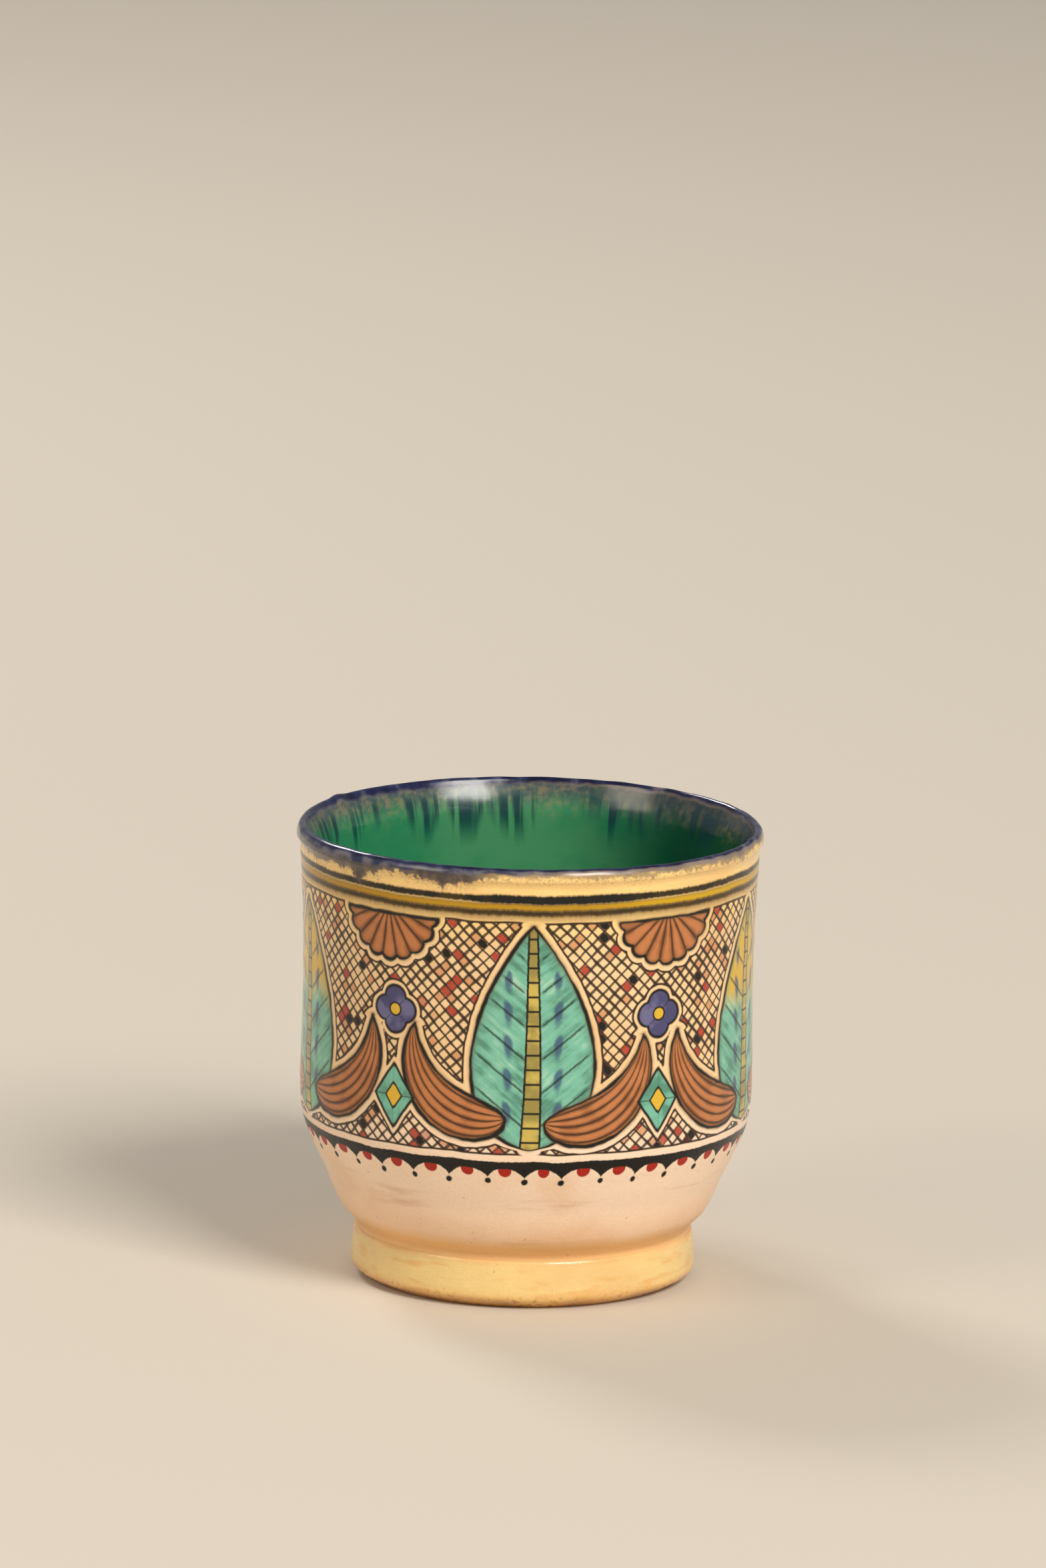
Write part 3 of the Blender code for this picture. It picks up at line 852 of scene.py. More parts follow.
def hanging_shells(turn, height):
    """Edge, share along and rib count of the scalloped shells that hang between the leaves."""
    bound, handle_there = between_leaves(turn)
    x = (turn - bound * STEP) * FRIEZE_RADIUS - SHELL_SHIFT * np.sin(3.1 * bound)
    drop = SHELL_TOP - height
    share, angle = np.hypot(x, drop) / SHELL_RADIUS, np.arctan2(x, drop)
    scallop = 1 - SHELL_NOTCH * (1 - np.abs(np.cos(math.pi * angle / SHELL_LOBE)) ** 0.6)
    edge = np.minimum((scallop - share) * SHELL_RADIUS, SHELL_CUT - height)
    rib = angle / SHELL_LOBE + 0.5 + 0.18 * np.sin(angle) * share
    return np.where(handle_there, FAR, edge), share, rib


print(f"shells of {SHELL_RADIUS} mm, {math.degrees(SHELL_LOBE):.0f} degrees to a lobe")

# %% [markdown]
# Under each shell are a flower with four petals and a lozenge. Both have a core and fine lines, so a point
# also keeps how far it is from those.

# %% Formulas for the flowers and lozenges
FLOWER_HEIGHT = 56.6
FLOWER_RADIUS = 4.4
FLOWER_CORE = 1.2
LOZENGE_HEIGHT = 40.6
LOZENGE_HALF = 4.2
LOZENGE_RISE = 6.0
LOZENGE_CORE = 0.42
FLOWER_NOTCH = 0.28
FLOWER_SHIFT = 0.7


def small_flowers(turn, height):
    """Edge and (core, line, kind) of a flower under each shell and a lozenge under that."""
    bound, handle_there = between_leaves(turn)
    x = (turn - bound * STEP) * FRIEZE_RADIUS + FLOWER_SHIFT * np.sin(2.2 * bound)
    up = height - FLOWER_HEIGHT
    reach, angle = np.hypot(x, up), np.arctan2(up, x)
    petal = 1 - FLOWER_NOTCH * (1 - np.abs(np.cos(2 * angle)) ** 0.8)
    flower_edge = 0.9 * (FLOWER_RADIUS * petal - reach)
    flower_line = np.minimum(np.abs(x - up), np.abs(x + up)) / math.sqrt(2)
    rise = height - LOZENGE_HEIGHT
    share = np.abs(x) / LOZENGE_HALF + np.abs(rise) / LOZENGE_RISE
    steep = math.hypot(1 / LOZENGE_HALF, 1 / LOZENGE_RISE)
    lozenge_edge = (1 - share) / steep
    lozenge_line = np.minimum(np.abs(x), np.abs(rise))
    lower = lozenge_edge > flower_edge
    edge = np.where(handle_there, FAR, np.maximum(flower_edge, lozenge_edge))
    core = np.where(lower, (LOZENGE_CORE - share) / steep, FLOWER_CORE - reach)
    line = np.where(lower, lozenge_line, flower_line)
    return edge, np.stack([core, line, lower.astype(float)], axis=-1)


print(f"flowers of {FLOWER_RADIUS} mm, lozenges of {LOZENGE_RISE} mm")

# %% [markdown]
# The paint stops at an oval round each end of the handle, a little wider than the lute there.

# %% Keep clear of the handle
RESERVE = 1.3
LUTE_SLANT = 1.2


def handle_gap(turn, height):
    """How far a point lies outside the bare ovals round the two ends of the handle."""
    away = (math.pi - np.abs(turn)) * FRIEZE_RADIUS
    gap = -FAR
    for (joint, _), taper in ((UPPER, 1.0), (LOWER, TAIL_TAPER)):
        half_wide = taper * STRAP_WIDTH / 2 + (1 + LUTE_WAVER) * LUTE_SPREAD + RESERVE
        half_tall = taper * STRAP_THICKNESS / 2 + LUTE_SLANT * LUTE_SPREAD + RESERVE
        share = np.hypot(away / half_wide, (height - joint.z) / half_tall)
        gap = np.minimum(gap, (share - 1) * half_tall)
    return gap


print(f"bare ovals {RESERVE} mm wider than the lutes")

# %% [markdown]
# The formulas work on all points of the body at once. What they give is kept as attributes of the mesh,
# which the finish reads by name.

# %% Store the drawing on the body
MARGIN = 1.5
FLOWER_MARGIN = 0.5


def store(mesh, name, values):
    """Keeps a number, or three, on every point of a mesh for its finish to read."""
    wide = values.ndim == 2
    layer = mesh.attributes.new(name, "FLOAT_VECTOR" if wide else "FLOAT", "POINT")
    layer.data.foreach_set("vector" if wide else "value", values.astype(np.float32).ravel())


def draw_frieze(mesh):
    points = np.empty(len(mesh.vertices) * 3, dtype=np.float32)
    mesh.vertices.foreach_get("co", points)
    x, y, z = points.reshape(-1, 3).astype(float).T
    turn, height = np.arctan2(x, AXIS_Y - y), z / MM
    leaf_edge, leaf_place = tall_leaves(turn, height)
    curl_edge, curl_share, curl_rib = curled_leaves(turn, height)
    shell_edge, shell_share, shell_rib = hanging_shells(turn, height)
    flower_edge, flower_place = small_flowers(turn, height)
    gap = handle_gap(turn, height)
    shell = shell_edge > curl_edge
    rib_edge = np.maximum(curl_edge, shell_edge)
    nearest = np.maximum(np.maximum(leaf_edge, rib_edge), flower_edge - FLOWER_MARGIN)
    store(mesh, "handle_gap", gap)
    store(mesh, "hatch_gap", np.minimum(-MARGIN - nearest, gap))
    store(mesh, "leaf_edge", np.minimum(leaf_edge, gap))
    store(mesh, "leaf_place", leaf_place)
    store(mesh, "rib_edge", np.minimum(rib_edge, gap))
    store(mesh, "rib_share", np.where(shell, shell_share, curl_share))
    store(mesh, "rib_count", np.where(shell, shell_rib, curl_rib))
    store(mesh, "flower_edge", np.minimum(flower_edge, gap))
    store(mesh, "flower_place", flower_place)


draw_frieze(body.data)
print(f"frieze on {len(body.data.vertices)} points")

# %% [markdown]
# ## A bench for finishes
# A finish is a tree of nodes. Laying hundreds of them out by hand hides the idea, so each node's output is
# wrapped in a value that can be added and multiplied. A sum of values lays out the nodes that work it out,
# and the finishes below read like sums.


# %% Values that can be summed
def sum_node(operation, swapped=False):
    """A method of a value that adds the node for one kind of sum."""

    def work_out(value, other):
        pair = (other, value) if swapped else (value, other)
        return value.bench.math(operation, *pair)

    return work_out


class Value:
    """What a node puts out. A sum with it adds a node to its bench."""

    def __init__(self, bench, socket):
        self.bench = bench
        self.socket = socket

    __add__ = __radd__ = sum_node("ADD")
    __mul__ = __rmul__ = sum_node("MULTIPLY")
    __sub__ = sum_node("SUBTRACT")
    __rsub__ = sum_node("SUBTRACT", swapped=True)
    __truediv__ = sum_node("DIVIDE")
    __rtruediv__ = sum_node("DIVIDE", swapped=True)
    __pow__ = sum_node("POWER")

    def __abs__(self):
        return self.bench.math("ABSOLUTE", self)

    def ease(self, low, high, start=0.0, end=1.0):
        """A soft step from start, at low, to end, at high."""
        return self.bench.node("MapRange", (self, low, high, start, end), interpolation_type="SMOOTHSTEP")

    def stroke(self, half, soft):
        """A brush line where a distance is 0: full within half its width, with soft sides."""
        return (abs(self) - half).ease(-soft, soft, 1.0, 0.0)

    def beat(self):
        """How far a count is past the middle between two whole numbers, from -0.5 to 0.5."""
        return self.bench.math("FRACT", self) - 0.5


print("values ready")

# %% [markdown]
# The bench knows the kinds of node that work out numbers and mix colours.


# %% Set up the bench
class Bench:
    """Lays out the nodes of a tree. What it takes may be a number, a colour or a value."""

    def __init__(self, tree):
        self.tree = tree

    def feed(self, socket, value):
        if isinstance(value, Value):
            self.tree.links.new(value.socket, socket)
        else:
            socket.default_value = value

    def node(self, kind, values, output=0, **settings):
        """An output of a new node, whose inputs are given in order or as a dict by name or number."""
        made = self.tree.nodes.new("ShaderNode" + kind)
        for name, setting in settings.items():
            setattr(made, name, setting)
        for socket, value in values.items() if isinstance(values, dict) else enumerate(values):
            self.feed(made.inputs[socket], value)
        return Value(self, made.outputs[output])

    def math(self, operation, *values):
        return self.node("Math", values, operation=operation)

    def hypot(self, x, y):
        return self.math("SQRT", x * x + y * y)

    def most(self, first, second):
        return self.math("MAXIMUM", first, second)

    def least(self, first, second):
        return self.math("MINIMUM", first, second)

    def mix(self, share, under, over):
        """One colour over another. Inputs 6 and 7 and output 2 are the node's sockets for colours."""
        return self.node("Mix", {0: share, 6: under, 7: over}, output=2, data_type="RGBA")

    def layered(self, picture, *layers):
        """A picture with layers of paint on it, each a mask and a colour."""
        for mask, paint in layers:
            picture = self.mix(mask, picture, paint)
        return picture

    def split(self, vector):
        made = self.node("SeparateXYZ", (vector,)).socket.node
        return [Value(self, socket) for socket in made.outputs]

    def ramp(self, share, stops):
        """Colours at shares from 0 to 1, blended between them."""
        made = self.node("ValToRGB", (share,))
        band = made.socket.node.color_ramp
        while len(band.elements) < len(stops):
            band.elements.new(0.5)
        for element, (position, paint) in zip(band.elements, stops):
            element.position = position
            element.color = paint
        return made


print("bench ready")

# %% [markdown]
# A painter's bench also reads the mug. It has a place, where its noises and groups are read, and finds what
# the formulas stored on the points.


# %% Add what reads the mug
class PaintBench(Bench):
    """A bench with a place on the mug, for noises, groups and what is stored on points."""

    def noise_over(self, place, scale, detail):
        return self.node("TexNoise", {"Vector": place, "Scale": scale, "Detail": detail})

    def noise(self, size, detail=2.0, squeeze=None):
        """A soft noise with a grain of this size in millimetres. A squeeze scales its place on each axis."""
        place = self.place
        if squeeze:
            place = self.node("Mapping", {"Vector": place, "Scale": squeeze})
        return self.noise_over(place, 1 / (size * MM), detail)

    def kept(self, name, output="Fac"):
        """What a formula stored on the points of a mesh."""
        return self.node("Attribute", (), output, attribute_name=name)

    def group(self, tree, **values):
        """The outputs of a node group at the bench's place, by name."""
        made = self.tree.nodes.new("ShaderNodeGroup")
        made.node_tree = tree
        for name, value in {"Place": self.place, **values}.items():
            self.feed(made.inputs[name], value)
        return {socket.name: Value(self, socket) for socket in made.outputs}

    def tremble(self, size, amount):
        """How far a brush strays, in waves of this size, up to this amount, both in millimetres."""
        return self.group(TREMBLE, Size=size, Amount=amount)["Offset"]


print("painter's bench ready")

# %% [markdown]
# Two kinds of tree go on the bench: a group, which is an effect that several finishes share, and a finish,
# which ends in a shader and is given to pieces.

# %% Set up groups and finishes
SOCKET_KINDS = {"Place": "NodeSocketVector", "Color": "NodeSocketColor"}


class Group(PaintBench):
    """The bench of a node group, which takes a place and may take more numbers."""

    def __init__(self, name, *takes):
        super().__init__(bpy.data.node_groups.new(name, "ShaderNodeTree"))
        self.add_sockets(("Place", *takes), "INPUT")
        entry = self.tree.nodes.new("NodeGroupInput")
        self.takes = {label: Value(self, entry.outputs[label]) for label in ("Place", *takes)}
        self.place = self.takes["Place"]

    def add_sockets(self, labels, way):
        for label in labels:
            kind = SOCKET_KINDS.get(label, "NodeSocketFloat")
            self.tree.interface.new_socket(label, in_out=way, socket_type=kind)

    def give(self, **values):
        """Sets what the group puts out, and returns its tree."""
        self.add_sockets(values, "OUTPUT")
        leave = self.tree.nodes.new("NodeGroupOutput")
        for label, value in values.items():
            self.feed(leave.inputs[label], value)
        print(f"{self.tree.name}: {len(self.tree.nodes)} nodes")
        return self.tree


class Finish(PaintBench):
    """The bench of a material, with the place on the mug that its patterns read."""

    def __init__(self, name):
        self.material = bpy.data.materials.new(name + "_finish")
        self.material.use_nodes = True
        super().__init__(self.material.node_tree)
        self.place = self.node("TexCoord", (), "Object")

    def dress(self, pieces, height, strength, depth, sockets):
        """Gives the finish to pieces: a bump, as deep as said, and what goes into the shader's sockets."""
        shader = self.tree.nodes["Principled BSDF"]
        relief = self.node("Bump", {"Height": height, "Strength": strength, "Distance": depth * MM})
        for name, value in {"Normal": relief, **sockets}.items():
            self.feed(shader.inputs[name], value)
        for piece in pieces:
            piece.data.materials.append(self.material)
        print(f"{self.material.name}: {len(self.tree.nodes)} nodes")


print("groups and finishes ready")

# %% [markdown]
# ## Shared effects
# Five effects appear on more than one piece, so each is a node group. The first turns a place on the mug
# into wheel terms: angle, reach and height. The second is the tremble of a brush.

# %% Wheel terms and the tremble of the brush
bench = Group("wheel_terms")
x, y, z = bench.split(bench.place)
back = AXIS_Y - y
WHEEL_TERMS = bench.give(Turn=bench.math("ARCTAN2", x, back), Reach=bench.hypot(x, back) / MM, Height=z / MM)

bench = Group("brush_tremble", "Size", "Amount")
waves = bench.noise(bench.takes["Size"], 1.0)
TREMBLE = bench.give(Offset=(waves * 2.0 - 1.0) * bench.takes["Amount"])

# %% [markdown]
# Colours are given in the 0 to 255 steps of a screen. A shader takes amounts of light, so a helper
# turns the one into the other.


# %% Pick colours
def colour(red, green, blue):
    """A colour given in 0 to 255 steps, as the light values that a shader takes."""
    light = []
    for step in (red, green, blue):
        share = step / 255
        light.append(share / 12.92 if share <= 0.04045 else ((share + 0.055) / 1.055) ** 2.4)
    return (*light, 1.0)


print(f"middle grey is {colour(128, 128, 128)[0]:.2f} of full light")

# %% [markdown]
# The third shared effect is the bare ground, whose colour goes from yellow at the foot through pink on the
# bowl to ochre below the rim. The darker orange band in the groove under the bowl is partly pooled glaze and
# partly painted shade. A ramp over the height gives the bands. Clouds, streaks, a thumb's smudge,
# specks and grain go over it, as a flat colour would look like plastic.

# %% The bare ground
FOOT_YELLOW = colour(237, 207, 138)
FOOT_DEEP = colour(234, 182, 100)
GROOVE_POOL_AND_SHADE = colour(238, 187, 124)
# Groove band: partly glaze pooled in the groove, partly painted shade under the bowl
BOWL = colour(244, 206, 170)
BOWL_PALE = colour(249, 221, 194)
CREAM = colour(243, 207, 156)
OCHRE = colour(248, 210, 136)
GROUND_STOPS = (
    (0.0, FOOT_DEEP), (0.045, FOOT_YELLOW), (0.095, FOOT_YELLOW), (0.112, GROOVE_POOL_AND_SHADE), (0.135, GROOVE_POOL_AND_SHADE),
    (0.165, BOWL), (0.25, BOWL_PALE), (0.36, BOWL_PALE), (0.5, CREAM), (0.82, CREAM), (0.89, OCHRE),
)
THUMB_TURN = -0.66
THUMB_HEIGHT = 20.5

bench = Group("bare_ground")
terms = bench.group(WHEEL_TERMS)
patchy = bench.tremble(11.0, 1.0)
height = terms["Height"] + patchy * 0.5
cloud = bench.noise(16, 3.0)
streaks = bench.noise(14, 4.0, (1.0, 1.0, 9.0))
on_bowl = height.ease(10.0, 12.0) * height.ease(29.0, 24.0)
smudge = streaks.ease(0.62, 0.74) * on_bowl * 0.16
thumb_side = (terms["Turn"] - THUMB_TURN).stroke(0.14, 0.12)
thumb_up = (height - THUMB_HEIGHT).stroke(1.6, 1.4)
thumb = streaks.ease(0.42, 0.60) * thumb_side * thumb_up * 0.42
specks = bench.noise(0.9, 1.0).ease(0.74, 0.80)
grain = bench.noise(0.35)
ground_colour = bench.layered(
    bench.ramp(height / RIM_TOP, GROUND_STOPS),
    (cloud.ease(0.45, 0.75, 0.0, 0.35), colour(222, 166, 108)),
    (bench.most(smudge, thumb), colour(170, 110, 62)),
    (specks * 0.45, colour(150, 96, 52)),
    (grain.ease(0.35, 0.65, 0.0, 0.10), colour(196, 140, 88)),
)
BARE_GROUND = bench.give(Color=ground_colour, Grain=grain)

# %% [markdown]
# The fourth is the blue wash outside the rim. It hangs in a fringe, longer on the left, with three drips,
# thins on the right and ends in a dusting. Body and rim share it, so that no seam shows where they meet.

# %% The wash outside the rim
WASH_LEVEL = 83.5
# Turn, half width in turn, softness and length of each drip
WASH_DRIPS = ((-0.82, 0.02, 0.06, 3.2), (-0.38, 0.05, 0.06, 1.9), (-0.26, 0.03, 0.05, 1.3))
MISSED_TURN = 1.30
UPRIGHT = (1.0, 1.0, 0.2)

bench = Group("rim_wash")
terms = bench.group(WHEEL_TERMS)
turn = terms["Turn"]
side = bench.math("SINE", turn)
left, laden, right = side.ease(-0.10, -0.26), side.ease(-0.56, -0.74), side.ease(0.25, 0.50)
swells = bench.noise(7, 1.0, UPRIGHT).ease(0.40, 0.64)
drips = bench.noise(2.1, 2.0, UPRIGHT).ease(0.42, 0.66)
even = right * 0.1 + left * 0.4 + laden * 1.6 + 0.4
spread = right * 1.1 + left + 0.5
run = even + (drips * 0.55 + swells * 0.45) * spread
for drip_turn, half_turn, soft, drop in WASH_DRIPS:
    run = run + (turn - drip_turn).stroke(half_turn, soft) * drop
fuzz = bench.tremble(0.7, 0.8)
above = terms["Height"] - WASH_LEVEL + run + fuzz
thin = right * above.ease(0.7, 1.5) * 0.55
missed = (turn - MISSED_TURN).stroke(0.03, 0.02)
laid = (1.0 - thin) * (1.0 - missed * 0.9) * (left * 0.35 + 0.65)
dust = bench.noise(0.45).ease(0.46, 0.62) * above.ease(-1.7, 0.0) * 0.40
mask = bench.most(above.ease(-0.3, 0.5, 0.0, 0.94) * laid, dust)
blotch = bench.noise(1.6, 3.0) * 4.0 - 2.0
wash_colour = bench.mix((above + blotch).ease(0.0, 2.0), colour(96, 84, 78), colour(42, 41, 54))
RIM_WASH = bench.give(Mask=mask, Color=wash_colour)

# %% [markdown]
# The fifth is the inside, shared by the lining and the blue glaze that runs over it: emerald with painted
# shade on its right side and deep down, a bare mottled band under the lip that is painted darker on the right
# as shade, and dark streaks. A noise that is read by angle almost alone draws the streaks as upright bars.

# %% The runs inside the rim
EMERALD = colour(44, 128, 86)
EMERALD_PALE = colour(68, 138, 94)
EMERALD_PAINTED_SHADE = colour(2, 56, 40)
STREAK = colour(18, 52, 62)
STREAK_TAIL = colour(8, 84, 64)
INSIDE_MIDDLE = 40.0
STREAK_WAVER = 0.0012

bench = Group("inside_runs")
terms = bench.group(WHEEL_TERMS)
side, front = bench.math("SINE", terms["Turn"]), bench.math("COSINE", terms["Turn"])
depth = LIP_HEIGHT - terms["Height"]
cloud = bench.noise(15, 3.0)
off_axis = terms["Reach"].ease(8.0, 32.0)
ring = bench.node("CombineXYZ", (side, front, depth * STREAK_WAVER))
broad = bench.noise_over(ring, INSIDE_MIDDLE / 6.0, 1.0)
narrow = bench.noise_over(ring, INSIDE_MIDDLE / 1.7, 2.0)
thick = narrow * 0.72 + broad * 0.28
length = broad.ease(0.34, 0.66, 1.5, 9.0)
hanging = (depth - length).ease(-4.0, 2.0, 1.0, 0.0) * depth.ease(-0.6, 1.6, 0.25, 1.0)
patch = bench.noise(1.3)
bare = patch.ease(0.36, 0.70) * (depth + broad * 9.0).ease(9.5, 4.0, 0.0, 0.32)
grey = bench.mix(patch.ease(0.36, 0.68), colour(78, 82, 92), colour(130, 120, 98))
# Painted shade: the grey band under the lip turns darker on the shaded right side
grey = bench.mix(side.ease(-0.1, 0.6, 0.15, 0.75), grey, colour(36, 50, 62))
inside_colour = bench.layered(
    bench.mix(cloud.ease(0.40, 0.64), EMERALD, EMERALD_PALE),
    # Painted shade: darker emerald deep down in the cup and on its shaded right side
    (depth.ease(28.0, 60.0, 0.0, 0.4), EMERALD_PAINTED_SHADE),
    (side.ease(0.1, 0.8, 0.0, 0.9) * off_axis, EMERALD_PAINTED_SHADE),
    (bare, colour(166, 146, 96)),
    ((depth + narrow * 4.0).ease(5.4, 1.2, 0.0, 0.9), grey),
    (hanging * thick.ease(0.46, 0.57, 0.0, 0.92), bench.mix(depth.ease(3.0, 10.0), STREAK, STREAK_TAIL)),
)
INSIDE_RUNS = bench.give(Color=inside_colour)

# %% [markdown]
# ## The painted finish
# The body is painted in the order of the brush: bare ground, hatching between the shapes, the shapes with
# their outlines, then the scalloped border below and the three lines under the rim. Each layer is a mask
# and a colour laid over what is there. A tremble moves every edge a little, as a hand does.

# %% Start the painting
BRUSH_BLACK = colour(12, 9, 6)
BRUSH_BROWN = colour(46, 29, 16)
BLEED = colour(110, 82, 44)

bench = Finish("painted_clay")
terms = bench.group(WHEEL_TERMS)
turn, height = terms["Turn"], terms["Height"]
ground = bench.group(BARE_GROUND)
tremble = bench.tremble(2.4, 0.22)
slow = bench.tremble(7.0, 0.35)
hand = height + slow
mottle = bench.noise(4.5, 3.0)
fuzz = bench.noise(0.7) * 0.30 - 0.15
brush = bench.noise(9, 1.0).ease(0.35, 0.65, 0.20, 0.40)
picture = ground["Color"]


def lay_shape(picture, edge, fill, half=brush, soft=0.2, bleed=0.4):
    """Lays a filled shape on the picture, with a brush line along its edge and the bleed of its paint."""
    return bench.layered(
        picture,
        (edge.ease(-0.1, 0.15), fill),
        (abs(edge).ease(0.2, 0.9, bleed, 0.0), BLEED),
        (edge.stroke(half, soft), BRUSH_BLACK),
    )


print("painting starts with", len(bench.tree.nodes), "nodes")

# %% [markdown]
# Two sets of slanting lines cross on the ground between the shapes. A random number for each mesh of the
# hatching says whether it is stained, or holds a red or a black speck.

# %% Hatch the ground between the shapes
HATCH_LINES = 112
HATCH_RISE = 2.35
HATCH_LOW = 31.6
HATCH_HIGH = 74.6
STAIN = colour(196, 116, 62)
SPECK_RED = colour(170, 36, 20)

gap = bench.kept("hatch_gap") - tremble
gap = bench.least(gap, bench.least(hand - HATCH_LOW, HATCH_HIGH - hand))
hatched = gap.ease(-0.1, 0.15)
around = turn * (HATCH_LINES / (2 * math.pi)) + slow * 0.5
rising = around + height / HATCH_RISE
falling = around + tremble * 0.4 - height / HATCH_RISE
across_rise, across_fall = rising.beat(), falling.beat()
cell = bench.node("CombineXYZ", (bench.math("FLOOR", rising), bench.math("FLOOR", falling)))
chance = bench.node("TexWhiteNoise", {"Vector": cell}, "Value", noise_dimensions="3D")
wide = mottle.ease(0.3, 0.7, 0.10, 0.19)
rise_line = (0.5 - abs(across_rise)).stroke(wide, 0.07)
fall_line = (0.5 - abs(across_fall)).stroke(wide, 0.07)
long_way, short_way = across_rise * 1.35, across_fall * 0.85
speck = (long_way * long_way + short_way * short_way).ease(0.24, 0.38, 1.0, 0.0) * hatched
picture = bench.layered(
    picture,
    (hatched * chance.ease(0.90, 0.91) * 0.65, STAIN),
    (hatched * fall_line * 0.90, BRUSH_BROWN),
    (hatched * rise_line * 0.96, BRUSH_BROWN),
    (speck * chance.ease(0.105, 0.10) * 0.92, SPECK_RED),
    (speck * chance.ease(0.050, 0.045), BRUSH_BLACK),
    (gap.stroke(0.2, 0.14), BRUSH_BROWN),
)
print("hatching: lines", round(2 * math.pi * FRIEZE_RADIUS / HATCH_LINES, 1), "mm apart round the wall")

# %% [markdown]
# The tall leaves have slanting veins, blue spots between them and a ticked midrib. Their wash shows the
# strokes of a wide brush, so its noise is stretched along the veins.

# %% Paint the tall leaves
TURQUOISE = colour(118, 184, 158)
TURQUOISE_DEEP = colour(84, 140, 118)
TURQUOISE_PALE = colour(172, 212, 186)
LEAF_YELLOW = colour(218, 176, 50)
RIB_OLIVE = colour(200, 176, 84)
RIB_OLIVE_DEEP = colour(150, 134, 66)
SPOT_BLUE = colour(58, 84, 116)
VEIN_PITCH = 6.2
VEIN_SLANT = 0.8
VEIN_STEEP = 1.28
SPOT_ASIDE = 4.6
SPOT_UP = 0.7
MIDRIB_HALF = 1.75
MIDRIB_TAPER = 0.024
TICK_PITCH = 2.7

leaf_edge = bench.kept("leaf_edge") + tremble
along, across, kind = bench.split(bench.kept("leaf_place", "Vector"))
aside = abs(across)
slanted = along - aside * VEIN_SLANT
strokes = bench.noise_over(bench.node("CombineXYZ", (across * 0.22, slanted)), 0.75, 3.0)
tone = strokes * 0.5 + mottle * 0.5
gilded = kind * (along + slow * 9.0).ease(20.0, 27.0)
vein = (slanted / VEIN_PITCH).beat() * (VEIN_PITCH / VEIN_STEEP)
spot_up = bench.most(vein - SPOT_UP, 0.0) + bench.least(vein - SPOT_UP, 0.0) * 0.35
spot = bench.hypot(spot_up, aside - SPOT_ASIDE) + fuzz
vein_fade = aside.ease(1.2, 2.0) * leaf_edge.ease(0.3, 1.8, 0.25, 1.0)
in_midrib = MIDRIB_HALF - along * MIDRIB_TAPER - aside
midrib = bench.mix(mottle.ease(0.4, 0.65), RIB_OLIVE_DEEP, RIB_OLIVE)
midrib = bench.mix((along / TICK_PITCH).beat().stroke(0.075, 0.05), midrib, BRUSH_BLACK)
fill = bench.layered(
    bench.mix(tone.ease(0.38, 0.54), TURQUOISE_DEEP, TURQUOISE),
    (tone.ease(0.54, 0.70, 0.0, 0.85), TURQUOISE_PALE),
    (gilded, LEAF_YELLOW),
    (leaf_edge.ease(0.2, 2.0, 0.45, 0.0), TURQUOISE_DEEP),
    (spot.ease(0.5, 1.15, 0.85, 0.0) * leaf_edge.ease(0.9, 1.6), SPOT_BLUE),
    ((vein + fuzz).stroke(0.2, 0.2) * vein_fade * 0.85, BRUSH_BLACK),
    (in_midrib.ease(-0.1, 0.1) * leaf_edge.ease(0.0, 0.3), midrib),
    ((in_midrib + fuzz).stroke(0.19, 0.12) * leaf_edge.ease(-0.1, 0.2), BRUSH_BLACK),
)
picture = lay_shape(picture, leaf_edge, fill)
print("leaves:", REPEATS, "of", LEAF_LENGTH, "mm")

# %% [markdown]
# Curled leaves and shells share one brown wash, which is lighter in the middle of each rib. Flowers and
# lozenges are small, so they have a thinner outline.

# %% Paint the ribbed shapes, flowers and lozenges
RIB_LIGHT = colour(190, 120, 70)
RIB_DARK = colour(126, 72, 34)
RIB_LINE = colour(58, 36, 20)
PETAL = colour(104, 102, 140)
PETAL_DEEP = colour(70, 68, 108)

rib_edge = bench.kept("rib_edge") + tremble
off_rib = abs(bench.kept("rib_count").beat())
rib_half = bench.kept("rib_share").ease(0.1, 0.9, 0.13, 0.08)
tone = (mottle - 0.5) * 0.9 + (0.9 - off_rib)
fill = bench.layered(
    bench.mix(tone.ease(0.35, 0.85), RIB_DARK, RIB_LIGHT),
    (rib_edge.ease(0.1, 1.5, 0.35, 0.0), RIB_DARK),
    ((0.5 - off_rib).stroke(rib_half, 0.07) * 0.85, RIB_LINE),
)
picture = lay_shape(picture, rib_edge, fill)

flower_edge = bench.kept("flower_edge") + tremble * 0.6
core, line, is_lozenge = bench.split(bench.kept("flower_place", "Vector"))
tone = mottle.ease(0.4, 0.6)
fill = bench.layered(
    bench.mix(tone, PETAL_DEEP, PETAL),
    (is_lozenge, bench.mix(tone, TURQUOISE_DEEP, TURQUOISE)),
    (line.stroke(0.13, 0.12) * 0.75, BRUSH_BLACK),
    (core.ease(-0.1, 0.1), LEAF_YELLOW),
    (core.stroke(0.17, 0.12), BRUSH_BLACK),
)
picture = lay_shape(picture, flower_edge, fill, half=0.26, soft=0.18, bleed=0.0)
print("shapes painted with", len(bench.tree.nodes), "nodes")

# %% [markdown]
# The border is a black band with hanging cusps. Each arch between two cusps holds a red half dot, and a
# small black dot hangs below each cusp. One count of scallops round the wall places all three.

# %% Paint the scalloped border
SCALLOPS = 36
SCALLOP_TOP = 30.1
BORDER_RADIUS = 40.4
SCALLOP_WIDTH = 2 * math.pi * BORDER_RADIUS / SCALLOPS
CROWN = 28.6
CUSP_DEPTH = 1.8
CUSP_POWER = 2.6
RED_RADIUS = 1.25
RED_HEIGHT = CROWN - 0.35
RED_DOT = colour(168, 28, 10)
DOT_HEIGHT = 26.0

